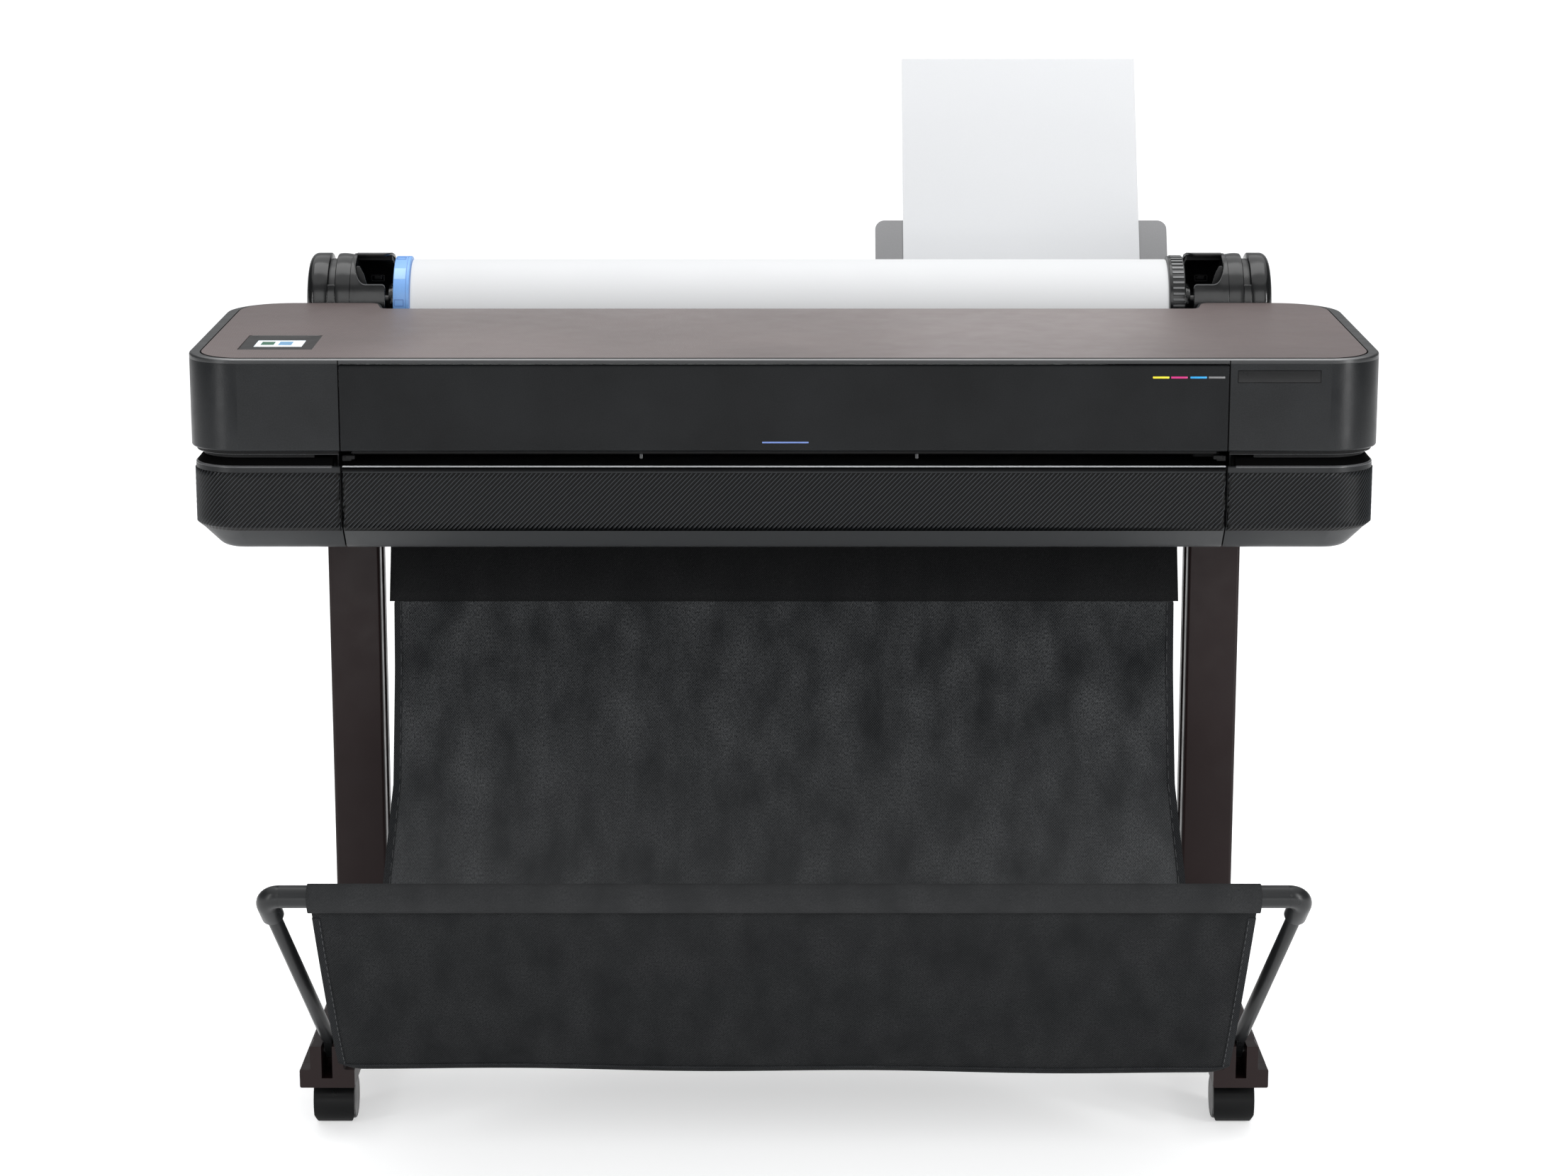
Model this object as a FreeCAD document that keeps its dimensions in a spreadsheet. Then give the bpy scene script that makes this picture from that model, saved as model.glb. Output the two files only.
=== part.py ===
import FreeCAD, Part
import math
import os
import Sketcher
from FreeCAD import Placement, Rotation, Vector

# A floor-standing roll and sheet plotter, in millimetres.
# X runs to the right of a person facing it, Y runs to its back and Z is up.
# The origin is on the floor, under the middle of the whole machine.

document = FreeCAD.newDocument("LargeFormatPlotter")
sheet = document.addObject("Spreadsheet::Sheet", "Sizes")
parts = []


# ---------------------------------------------------------------- sizes

class Formula:
    """A length worked out from the sheet: the expression that binds it, and its value."""

    def __init__(self, text, value):
        self.text = text
        self.value = float(value)

    def __add__(self, other):
        other = formula(other)
        return Formula(f"({self.text} + {other.text})", self.value + other.value)

    def __sub__(self, other):
        other = formula(other)
        return Formula(f"({self.text} - {other.text})", self.value - other.value)

    def __mul__(self, other):
        other = formula(other)
        return Formula(f"({self.text} * {other.text})", self.value * other.value)

    def __truediv__(self, other):
        other = formula(other)
        return Formula(f"({self.text} / {other.text})", self.value / other.value)

    def __radd__(self, other):
        return formula(other) + self

    def __rsub__(self, other):
        return formula(other) - self

    def __rmul__(self, other):
        return formula(other) * self

    def __neg__(self):
        return Formula(f"(0 - {self.text})", -self.value)


def formula(number):
    """A plain number as a formula; a formula stays as it is."""
    if isinstance(number, Formula):
        return number
    return Formula(f"({float(number)})", number)


def sine(angle):
    return Formula(f"sin({angle.text})", math.sin(math.radians(angle.value)))


def cosine(angle):
    return Formula(f"cos({angle.text})", math.cos(math.radians(angle.value)))


def size(alias, value, note):
    """Puts one driving dimension in the next row of the sheet."""
    size.row += 1
    sheet.set(f"A{size.row}", note)
    sheet.set(f"B{size.row}", str(value))
    sheet.setAlias(f"B{size.row}", alias)
    return Formula(f"Sizes.{alias}", value)


size.row = 0

front = size("front_face", -219.7, "Y of the housing's front face")
skin = size("skin", 3, "wall of the moulded covers")
body_half = size("body_half_width", 658.5, "half the housing's width")
body_bottom = size("body_bottom", 651, "underside of the housing")
gap_bottom = size("gap_bottom", 748, "top of the lower covers, where the output slot starts")
gap_top = size("gap_top", 765, "bottom of the upper covers, where the output slot ends")
rim_bottom = size("rim_bottom", 862, "underside of the lid's rim")
lid_front_top = size("lid_front_top", 867.6, "top of the lid at its front edge")
lid_back_top = size("lid_back_top", 880, "top of the lid at its back edge")
cover_depth = size("cover_depth", 396, "depth of the side covers and the lid")
rear_depth = size("rear_depth", 518, "depth from the front face to the rear wall")
corner = size("corner_radius", 60, "plan radius of the housing's corners")
seam = size("seam_half", 487, "half the width between the two front seams")
seam_gap = size("seam_gap", 0.6, "half the width of a seam")
lower_inset = size("lower_inset", 4, "how far the lower covers stand in from the upper ones")
chamfer = size("lower_chamfer", 29, "chamfer along the bottom of the lower covers")
bottom_round = size("bottom_round", 20, "rounding between that chamfer and the bottom")
core_inset = size("core_inset", 13, "how far the inner housings stand in from the covers")
core_inner = size("core_inner", 517, "inner wall of an inner housing from the machine's middle")
rear_half = size("rear_half_width", 604, "half the width of the rear cover")
rim_front = size("rim_front", 5, "width of the lid's black rim along the front")
rim_side = size("rim_side", 14, "width of the lid's black rim along the ends")
rim_round = size("rim_round", 3, "rounding along the outer top edge of that rim")
notch_depth = size("notch_depth", 45, "depth of the lid's notch for the roll")
notch_half = size("notch_half", 482, "half the width of the lid's notch")
hinge_in = size("hinge_in", 3.2, "front door's hinge axis behind the front face")
hinge_z = size("hinge_height", 857.6, "height of the front door's hinge axis")
pivot_radius = size("pivot_radius", 1.9, "stub pivots of the front door")

panel_x = size("panel_middle", 564.5, "middle of the control panel left of the machine's middle")
panel_half_x = size("panel_half_width", 41.5, "half the width of the control panel")
panel_near = size("panel_near", 58, "front of the control panel behind the front face")
panel_far = size("panel_far", 154, "back of the control panel behind the front face")
screen_half_x = size("screen_half_width", 27, "half the width of the touch screen")
screen_near = size("screen_near", 82, "front of the touch screen behind the front face")
screen_far = size("screen_far", 124, "back of the touch screen behind the front face")
inlet_x = size("inlet_middle", -430, "middle of the mains inlet")
inlet_z = size("inlet_height", 712, "height of the mains inlet")
inlet_half = size("inlet_half_width", 26, "half the width of the mains inlet")

roll_y = front + size("roll_behind", 457, "roll axis behind the front face")
roll_z = size("roll_height", 873, "height of the roll axis")
roll_shift = size("roll_shift", 6.5, "middle of the roll to the right of the housing's middle")
roll_radius = size("roll_radius", 52, "outside of the wound paper")
roll_half = size("roll_half", 457, "half the width of the paper")
core_radius = size("core_radius", 28.5, "outside of the cardboard core")
core_bore = size("core_bore", 25.4, "bore of the cardboard core")
flange_radius = size("flange_radius", 56, "roll stops")
flange_width = size("flange_width", 19, "width of a roll stop")
shaft_radius = size("shaft_radius", 12, "spindle shaft")
holder_radius = size("holder_radius", 60, "round bodies of the roll holders")
trough_radius = size("trough_radius", 62, "trough under the roll")
holder_outer = size("holder_outer", 581, "roll middle to a holder's outer end")
holder_cap = size("holder_cap", 562, "roll middle to a holder's end cap")
holder_neck = size("holder_neck", 553, "roll middle to a holder's neck")
holder_drum = size("holder_drum", 523, "roll middle to a holder's drum")
holder_lip = size("holder_lip", 486, "roll middle to the inner end of a holder's front lip")
holder_hood = size("holder_hood", 481, "roll middle to the inner end of a holder's rear hood")
lip_top = roll_z + size("lip_rise", 28, "top of a holder's front lip above the roll axis")
saddle_near = size("saddle_near", 503, "roll middle to the near face of a bearing saddle")
saddle_far = size("saddle_far", 517, "roll middle to the far face of a bearing saddle")
collar_radius = size("collar_radius", 22, "spindle's collars beside the roll stops")

lean = size("sheet_lean", 27.3, "lean of the loaded sheet from upright, in degrees")
sheet_foot_y = front + size("sheet_foot_behind", 536, "sheet's lower edge behind the front face")
sheet_foot_z = size("sheet_foot_height", 778, "height of the sheet's lower edge")
sheet_width = size("sheet_width", 297, "loaded sheet, short side")
sheet_length = size("sheet_length", 420, "loaded sheet, long side")
sheet_thickness = size("sheet_thickness", 0.6, "loaded sheet with the few sheets behind it")
sheet_x = size("sheet_middle", 298.5, "middle of the sheet feeder")
tray_half = size("tray_half_width", 183.5, "half the width of the feeder tray")
tray_length = size("tray_length", 200, "length of the feeder tray above the sheet's foot")

foot_x = size("foot_middle", 508, "middle of a foot from the machine's middle")
foot_half = size("foot_half_width", 30.5, "half the width of a foot's base")
hat_half = size("foot_hat_half_width", 18.5, "half the width of the raised rib on a foot")
foot_front = front - size("foot_ahead", 90, "foot ahead of the front face")
foot_length = size("foot_length", 605, "length of a foot")
foot_bottom = size("foot_bottom", 63, "underside of a foot")
foot_step = size("foot_step", 84, "top of a foot's base")
foot_top = size("foot_top", 111, "top of the raised rib")
cap_length = size("foot_cap_length", 25, "length of a foot's end cap")
slot_half = size("foot_slot_half_width", 6, "half the width of the slot for a basket arm")
slot_floor = size("foot_slot_floor", 74, "floor of the slot for a basket arm")
slot_length = size("foot_slot_length", 56, "length of the slot for a basket arm")
column_x = size("column_middle", 497.5, "middle of a column from the machine's middle")
column_side = size("column_side", 60, "side of a column")
column_front = front + size("column_behind", 182, "front of a column behind the front face")
column_slot = size("column_slot_half_width", 9, "half the width of a column's slot")
caster_front = front - size("caster_ahead", 28, "front caster stems ahead of the front face")
caster_rear = front + size("caster_behind", 455, "rear caster stems behind the front face")
caster_trail = size("caster_trail", 18, "axle behind the stem")
wheel_radius = size("wheel_radius", 25, "caster wheel")
wheel_width = size("wheel_width", 17, "width of one of the twin wheels")
web_half = size("caster_web_half", 5, "half the width of the web between the wheels")

bar_y = front - size("bar_ahead", 275, "basket bar ahead of the front face")
bar_z = size("bar_height", 340, "height of the basket bar")
bar_radius = size("bar_radius", 12, "basket bar")
bar_half = size("bar_half_length", 527.5, "half the straight length of the basket bar")
elbow_x = size("elbow_middle", 543, "corner of the bar's elbow from the machine's middle")
arm_radius = size("arm_radius", 8, "basket arm")
arm_knee_y = front - size("knee_ahead", 77, "where an arm turns into its slot, ahead of the face")
arm_knee_z = size("knee_height", 119.5, "height of the point where an arm turns into its slot")
pivot_y = front - size("basket_pivot_ahead", 55, "basket pivot ahead of the front face")
pivot_z = size("basket_pivot_height", 95, "height of the basket pivot")
pin_radius = size("basket_pin_radius", 3, "basket pivot pin")
rod_y = front + size("cloth_rod_behind", 150, "rod that holds the basket cloth, behind the front face")
rod_z = size("cloth_rod_height", 641, "height of the rod that holds the basket cloth")
rod_radius = size("cloth_rod_radius", 5, "rod that holds the basket cloth")
cloth = size("cloth_thickness", 2, "basket cloth")
cloth_half = size("cloth_half_width", 455, "half the width of the cloth's back panel")
flap_half = size("flap_half_width", 490, "half the width of the cloth's front flap")
fold_back_y = front - size("fold_back_ahead", 95, "cloth's rear fold ahead of the front face")
fold_front_y = front - size("fold_front_ahead", 175, "cloth's front fold ahead of the front face")
fold_z = size("fold_height", 104, "lowest run of the cloth")

platen_top = size("platen_top", 756, "printing surface")
feed_y = front + size("feed_behind", 168, "feed roller behind the front face")
feed_radius = size("feed_radius", 14, "feed roller")
pinch_radius = size("pinch_radius", 6, "pinch rollers")
journal_radius = size("journal_radius", 6, "feed roller's journals")
plate_x = size("side_plate_inner", 496, "inner face of a steel side plate")
carriage_x = size("carriage_park", 425, "middle of the parked carriage")
carriage_half = size("carriage_half_width", 55, "half the width of the carriage")

document.recompute()


# ---------------------------------------------------------------- drawing helpers

def new_body(label):
    body = document.addObject("PartDesign::Body", label)
    body.Label = label
    return body


def new_sketch(body, plane, level):
    """A sketch on one of the body's own origin planes, moved to a level along X, Y or Z."""
    sketch = body.newObject("Sketcher::SketchObject", "Outline")
    support = next(item for item in body.Origin.OriginFeatures if item.Role == plane + "_Plane")
    sketch.AttachmentSupport = [(support, "")]
    sketch.MapMode = "FlatFace"
    level = formula(level)
    # The XZ plane's normal points along -Y.
    offset = -level if plane == "XZ" else level
    sketch.setExpression(".AttachmentOffset.Base.z", offset.text)
    return sketch


def bound(sketch, rules, lengths):
    """Adds the constraints in one go and ties each length among them to its formula."""
    first = sketch.ConstraintCount
    sketch.addConstraint(rules)
    for number, length in lengths:
        sketch.setExpression(f"Constraints[{first + number}]", length.text)


def draw_outline(sketch, corners):
    """A closed outline. A corner is (across, up), or (across, up, radius) where it is rounded."""
    corners = [tuple(formula(item) for item in each) for each in corners]
    count = len(corners)
    places = [Vector(each[0].value, each[1].value, 0) for each in corners]
    ends = []
    for number, place in enumerate(places):
        back = (places[number - 1] - place).normalize()
        ahead = (places[(number + 1) % count] - place).normalize()
        reach = 0
        if len(corners[number]) == 3:
            reach = corners[number][2].value / math.tan(back.getAngle(ahead) / 2)
        ends.append((place + back * reach, place + ahead * reach))
    lines = []
    for number in range(count):
        line = Part.LineSegment(ends[number][1], ends[(number + 1) % count][0])
        lines.append(sketch.addGeometry(line))
    rules = []
    lengths = []
    for number, place in enumerate(places):
        before, after = lines[number - 1], lines[number]
        point = sketch.addGeometry(Part.Point(place), True)
        for kind, value in (("DistanceX", place.x), ("DistanceY", place.y)):
            lengths.append((len(rules), corners[number][0 if kind == "DistanceX" else 1]))
            rules.append(Sketcher.Constraint(kind, -1, 1, point, 1, value))
        if len(corners[number]) == 2:
            rules.append(Sketcher.Constraint("Coincident", before, 2, point, 1))
            rules.append(Sketcher.Constraint("Coincident", after, 1, point, 1))
            continue
        radius = corners[number][2]
        arrive, leave = ends[number]
        inward = ((arrive + leave) * 0.5 - place).normalize()
        centre = place + inward * math.hypot(radius.value, arrive.distanceToPoint(place))
        turns_left = (place - arrive).cross(leave - place).z > 0
        start, finish = (arrive, leave) if turns_left else (leave, arrive)
        angles = [math.atan2(end.y - centre.y, end.x - centre.x) for end in (start, finish)]
        if angles[1] < angles[0]:
            angles[1] += 2 * math.pi
        circle = Part.Circle(centre, Vector(0, 0, 1), radius.value)
        arc = sketch.addGeometry(Part.ArcOfCircle(circle, angles[0], angles[1]))
        arrive_end, leave_end = (1, 2) if turns_left else (2, 1)
        rules.append(Sketcher.Constraint("Tangent", before, 2, arc, arrive_end))
        rules.append(Sketcher.Constraint("Tangent", after, 1, arc, leave_end))
        rules.append(Sketcher.Constraint("PointOnObject", point, 1, before))
        rules.append(Sketcher.Constraint("PointOnObject", point, 1, after))
        lengths.append((len(rules), radius))
        rules.append(Sketcher.Constraint("Radius", arc, radius.value))
    bound(sketch, rules, lengths)


def draw_circle(sketch, centre, radius):
    across, up, radius = formula(centre[0]), formula(centre[1]), formula(radius)
    middle = Vector(across.value, up.value, 0)
    circle = sketch.addGeometry(Part.Circle(middle, Vector(0, 0, 1), radius.value))
    rules = [
        Sketcher.Constraint("DistanceX", -1, 1, circle, 3, across.value),
        Sketcher.Constraint("DistanceY", -1, 1, circle, 3, up.value),
        Sketcher.Constraint("Radius", circle, radius.value),
    ]
    bound(sketch, rules, [(0, across), (1, up), (2, radius)])


def run_between(body, sketch, plane, low, high, cut):
    """Pads or pockets the sketch from its own level up to the higher one."""
    feature = body.newObject("PartDesign::Pocket" if cut else "PartDesign::Pad", "Run")
    feature.Profile = sketch
    feature.setExpression("Length", (formula(high) - low).text)
    feature.Reversed = (plane == "XZ") != cut
    body.Tip = feature
    return feature


def prism(body, plane, corners, low, high, cut=False):
    """Adds, or cuts, an outline drawn on a plane and run between two levels."""
    sketch = new_sketch(body, plane, low)
    draw_outline(sketch, corners)
    return run_between(body, sketch, plane, low, high, cut)


def disc(body, plane, centre, radius, low, high, cut=False):
    """Adds, or cuts, a round boss or bore between two levels."""
    sketch = new_sketch(body, plane, low)
    draw_circle(sketch, centre, radius)
    return run_between(body, sketch, plane, low, high, cut)


def rectangle(left, bottom, right, top, radius=None):
    """Four corners of an upright rectangle, all rounded where a radius is given."""
    corners = [(left, bottom), (right, bottom), (right, top), (left, top)]
    return corners if radius is None else [each + (radius,) for each in corners]


def dress(body, kind, setting, amount, chosen):
    """A fillet or chamfer on the edges of the body that the chosen test picks."""
    document.recompute()
    base = body.Tip
    names = [f"Edge{n + 1}" for n, edge in enumerate(base.Shape.Edges) if chosen(edge)]
    feature = body.newObject(kind, "Dressing")
    feature.Base = (base, names)
    feature.setExpression(setting, formula(amount).text)
    body.Tip = feature


def fillet(body, radius, chosen):
    dress(body, "PartDesign::Fillet", "Radius", radius, chosen)


def lies_at(edge, level):
    """True for an edge that lies flat at one height."""
    slack = 0.01
    return edge.BoundBox.ZMin > level.value - slack and edge.BoundBox.ZMax < level.value + slack


def block(name, low, high):
    """A plain box between two opposite corners."""
    box = document.addObject("Part::Box", name)
    low = [formula(item) for item in low]
    high = [formula(item) for item in high]
    for letter, setting, start, end in zip("xyz", ("Length", "Width", "Height"), low, high):
        box.setExpression(setting, (end - start).text)
        box.setExpression(f".Placement.Base.{letter}", start.text)
    return box


def rod(name, start, axis, radius, length):
    """A round bar from a point along X, Y or Z."""
    bar = document.addObject("Part::Cylinder", name)
    turns = {"x": Rotation(Vector(0, 1, 0), 90), "y": Rotation(Vector(1, 0, 0), -90), "z": Rotation()}
    bar.Placement = Placement(Vector(), turns[axis])
    bar.setExpression("Radius", formula(radius).text)
    bar.setExpression("Height", formula(length).text)
    for letter, place in zip("xyz", start):
        bar.setExpression(f".Placement.Base.{letter}", formula(place).text)
    return bar


def cut(label, base, tool):
    piece = document.addObject("Part::Cut", label)
    piece.Base = base
    piece.Tool = tool
    return piece


def fuse(label, members):
    piece = document.addObject("Part::MultiFuse", label)
    piece.Shapes = members
    return piece


def group(label, members):
    """Separate solids of one kind that share a node."""
    piece = document.addObject("Part::Compound", label)
    piece.Links = members
    return piece


def keep(piece, label):
    """Names a finished sub-part."""
    piece.Label = label
    parts.append(piece)
    return piece


def from_middle(side, distance, middle=0):
    """An X position on the left (-1) or right (+1) of a middle."""
    return formula(middle) + formula(distance) * side


def span(side, near, far, middle=0):
    """The lower and higher X of a stretch between two distances from a middle."""
    ends = (from_middle(side, near, middle), from_middle(side, far, middle))
    return ends if side > 0 else ends[::-1]


SIDES = (("left", -1), ("right", 1))


# ---------------------------------------------------------------- lower housing

lower_front = front + lower_inset
lower_half = body_half - lower_inset


def make_base_pan():
    body = new_body("base_pan")
    near, far = front + 46, front + rear_depth - 8
    steel = 2
    wall_top = body_bottom + 40
    floor_top = body_bottom + steel
    outline = [
        (near, body_bottom), (far, body_bottom), (far, wall_top), (far - steel, wall_top),
        (far - steel, floor_top), (near + steel, floor_top), (near + steel, wall_top),
        (near, wall_top),
    ]
    prism(body, "YZ", outline, -(rear_half - 18), rear_half - 18)
    keep(body, "base_pan")


def make_lower_front_cover():
    body = new_body("lower_cover_front")
    chamfer_top = body_bottom + chamfer
    inner = chamfer - skin * 0.4
    outline = [
        (lower_front, gap_bottom - 5), (lower_front, chamfer_top, 8),
        (lower_front + chamfer, body_bottom, bottom_round), (lower_front + 41, body_bottom),
        (lower_front + 41, body_bottom + skin),
        (lower_front + inner + skin, body_bottom + skin, bottom_round - skin),
        (lower_front + skin, chamfer_top + skin * 0.4), (lower_front + skin, gap_bottom - 5),
    ]
    prism(body, "YZ", outline, -(seam - seam_gap), seam - seam_gap)
    keep(body, "lower_cover_front")


def make_output_guide():
    """The glossy lip of the output slot, which runs back to the platen."""
    body = new_body("output_guide")
    outline = [
        (lower_front, gap_bottom - 4.6), (lower_front + 6, gap_bottom - 4.6),
        (lower_front + 10, gap_bottom - 2.5), (front + 58, gap_bottom + 1),
        (front + 58, gap_bottom + 4), (lower_front + 12, gap_bottom, 6),
        (lower_front, gap_bottom, 2),
    ]
    prism(body, "YZ", outline, -(seam - seam_gap), seam - seam_gap)
    keep(body, "output_guide")


def end_outline(side, inset, seam_edge, back, front_y=front, front_radius=corner, back_radius=None):
    """Plan outline of a housing end: open seam side, rounded outer corners."""
    outer = from_middle(side, body_half - inset)
    inner = from_middle(side, seam_edge)
    back_corner = (outer, back) if back_radius is None else (outer, back, back_radius)
    outline = [(inner, front_y + inset), (outer, front_y + inset, front_radius), back_corner,
               (inner, back)]
    return outline if side > 0 else outline[::-1]


def make_lower_end_cover(name, side):
    body = new_body(f"lower_cover_{name}")
    back = front + cover_depth
    outline = end_outline(side, lower_inset, seam + seam_gap, back, front_radius=corner - lower_inset)
    prism(body, "XY", outline, body_bottom, gap_bottom)

    def along_bottom(edge):
        box = edge.BoundBox
        middle_x = abs(edge.CenterOfMass.x)
        on_floor = lies_at(edge, body_bottom)
        at_seam = box.XLength < 1 and middle_x < seam.value + 5
        at_back = box.YLength < 1 and edge.CenterOfMass.y > back.value - 1
        return on_floor and not at_seam and not at_back

    dress(body, "PartDesign::Chamfer", "Size", chamfer, along_bottom)
    fillet(body, bottom_round, along_bottom)

    def along_top(edge):
        outer = abs(edge.CenterOfMass.x) > seam.value + 5
        inner_back = edge.BoundBox.YLength < 1 and edge.CenterOfMass.y > back.value - 1
        return lies_at(edge, gap_bottom) and outer and not inner_back

    fillet(body, 2, along_top)
    inside = end_outline(side, lower_inset + skin, seam - 10, back + 10,
                         front_radius=corner - lower_inset - skin)
    prism(body, "XY", inside, body_bottom + chamfer + skin, gap_bottom, cut=True)
    lower_inside = end_outline(side, lower_inset + chamfer + skin, seam - 10, back + 10,
                               front_radius=corner - lower_inset - chamfer - skin)
    prism(body, "XY", lower_inside, body_bottom, body_bottom + chamfer + skin, cut=True)
    keep(body, f"lower_cover_{name}")


# ---------------------------------------------------------------- upper housing

def make_upper_end_cover(name, side):
    """Side cover with a boss at its front edge that takes the front door's pivot."""
    body = new_body(f"upper_cover_{name}")
    back = front + cover_depth
    outline = end_outline(side, 0, seam + seam_gap, back, back_radius=corner + 10)
    prism(body, "XY", outline, gap_top, rim_bottom)

    def along_bottom(edge):
        outer = abs(edge.CenterOfMass.x) > seam.value + 5
        at_back = edge.BoundBox.YLength < 1 and edge.CenterOfMass.y > back.value - 1
        return lies_at(edge, gap_top) and outer and not at_back

    inside = end_outline(side, skin, seam - 10, back - skin, front_radius=corner - skin,
                         back_radius=corner + 10 - skin)
    fillet(body, 2.5, along_bottom)
    prism(body, "XY", inside, gap_top, rim_bottom, cut=True)
    near, far = span(side, seam + seam_gap, seam + 12)
    boss = rectangle(front + skin - 1, hinge_z - 4.2, front + hinge_in + 4.2, rim_bottom)
    prism(body, "YZ", boss, near, far)
    disc(body, "YZ", (front + hinge_in, hinge_z), pivot_radius + 0.08, near, far, cut=True)
    keep(body, f"upper_cover_{name}")


def make_front_door():
    """Front panel that swings up about stub pivots along its top edge."""
    body = new_body("front_door")
    back_face = front + 3.5
    hinge_y = front + hinge_in
    outline = [
        (front, gap_top, 2.5), (front + 13, gap_top), (front + 13, gap_top + 2.5),
        (back_face, gap_top + 2.5), (back_face, hinge_z - 10), (front + hinge_in * 2, hinge_z - 6),
        (front + hinge_in * 2, hinge_z + hinge_in, 3), (front, hinge_z + hinge_in, 3),
    ]
    prism(body, "YZ", outline, -(seam - seam_gap), seam - seam_gap)
    for side in (-1, 1):
        near, far = span(side, seam - seam_gap, seam + 9)
        disc(body, "YZ", (hinge_y, hinge_z), pivot_radius, near, far)
    keep(body, "front_door")


def lid_outline(front_gap, end_gap, notch_gap):
    """Plan outline of the lid, with its notch for the roll, drawn in by three gaps."""
    right = body_half - end_gap
    back = front + cover_depth - end_gap * 0.4
    notch_y = front + cover_depth - notch_depth - notch_gap
    notch_left = -notch_half + roll_shift - notch_gap
    notch_right = notch_half + roll_shift + notch_gap
    return [
        (-right, front + front_gap, corner - end_gap * 0.7),
        (right, front + front_gap, corner - end_gap * 0.7),
        (right, back, corner + 10 - end_gap), (notch_right + 9, back, 12),
        (notch_right, notch_y, 10), (notch_left, notch_y, 10),
        (notch_left - 9, back, 12), (-right, back, corner + 10 - end_gap),
    ]


def slope_off(body, drop=0):
    """Cuts the top of a lid part to the lid's gentle rise from front to back."""
    back = front + cover_depth
    sky = lid_back_top + 20
    wedge = [
        (front - 10, lid_front_top - 0.3 - drop), (back, lid_back_top - drop), (back, sky),
        (front - 10, sky),
    ]
    prism(body, "YZ", wedge, -body_half - 5, body_half + 5, cut=True)


def make_top_rim():
    body = new_body("top_rim")
    prism(body, "XY", lid_outline(0, 0, 0), rim_bottom, lid_back_top + 5)
    prism(body, "XY", lid_outline(rim_front, rim_side, 3), rim_bottom, lid_back_top + 5, cut=True)
    slope_off(body)

    def along_outer_top(edge):
        raised = edge.BoundBox.ZMin > rim_bottom.value + 1
        slack = 0.01
        outer = all(abs(corner.X) > body_half.value - slack or corner.Y < front.value + slack
                    for corner in edge.Vertexes)
        return raised and outer

    fillet(body, rim_round, along_outer_top)
    keep(body, "top_rim")


def make_lid_panel():
    body = new_body("lid_panel")
    clearance = 0.3
    prism(body, "XY", lid_outline(rim_front + clearance, rim_side + clearance, 3 + clearance),
          rim_bottom, lid_back_top + 5)
    slope_off(body, drop=-0.4)
    under = rim_bottom - 1
    hollow = [
        (front + 20, under), (front + cover_depth + 1, under),
        (front + cover_depth + 1, lid_back_top - 3.6), (front + 20, lid_front_top - 3),
    ]
    prism(body, "YZ", hollow, -body_half, body_half, cut=True)
    panel_recess = rectangle(-panel_x - panel_half_x, front + panel_near, -panel_x + panel_half_x,
                             front + panel_far)
    prism(body, "XY", panel_recess, rim_bottom, lid_back_top + 5, cut=True)
    keep(body, "lid_panel")


def make_control_panel():
    """A shallow wedge, lower at the front, that carries the touch screen."""
    body = new_body("control_panel")
    clearance = 0.3
    near, far = front + panel_near + clearance, front + panel_far - clearance
    outline = [
        (near, rim_bottom), (far, rim_bottom), (far, rim_bottom + 10.6), (near, rim_bottom + 7),
    ]
    left = -panel_x - panel_half_x + clearance
    right = -panel_x + panel_half_x - clearance
    prism(body, "YZ", outline, left, right)
    screen = rectangle(-panel_x - screen_half_x, front + screen_near, -panel_x + screen_half_x,
                       front + screen_far)
    prism(body, "XY", screen, rim_bottom + 3, rim_bottom + 12, cut=True)
    keep(body, "control_panel")

    glass = new_body("touch_screen")
    low, high = front + screen_near + 0.2, front + screen_far - 0.2
    outline = [
        (low, rim_bottom + 3), (high, rim_bottom + 3), (high, rim_bottom + 9.2),
        (low, rim_bottom + 7.6),
    ]
    prism(glass, "YZ", outline, -panel_x - screen_half_x + 0.2, -panel_x + screen_half_x - 0.2)
    keep(glass, "touch_screen")


def make_inner_housings():
    """Dark inner housings that show in the gap round both ends."""
    housings = []
    for name, side in SIDES:
        body = new_body(f"inner_housing_{name}")
        back = front + cover_depth - 6
        outline = end_outline(side, core_inset, core_inner, back, front_radius=corner - core_inset,
                              back_radius=corner - 3)
        low, high = body_bottom + 50, rim_bottom - 1
        prism(body, "XY", outline, low, high)
        inside = end_outline(side, core_inset + skin, core_inner + skin, back - skin,
                             front_radius=corner - core_inset - skin,
                             back_radius=corner - 3 - skin)
        prism(body, "XY", inside, low, high - skin, cut=True)
        housings.append(body)
    keep(group("inner_housings", housings), "inner_housings")


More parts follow.
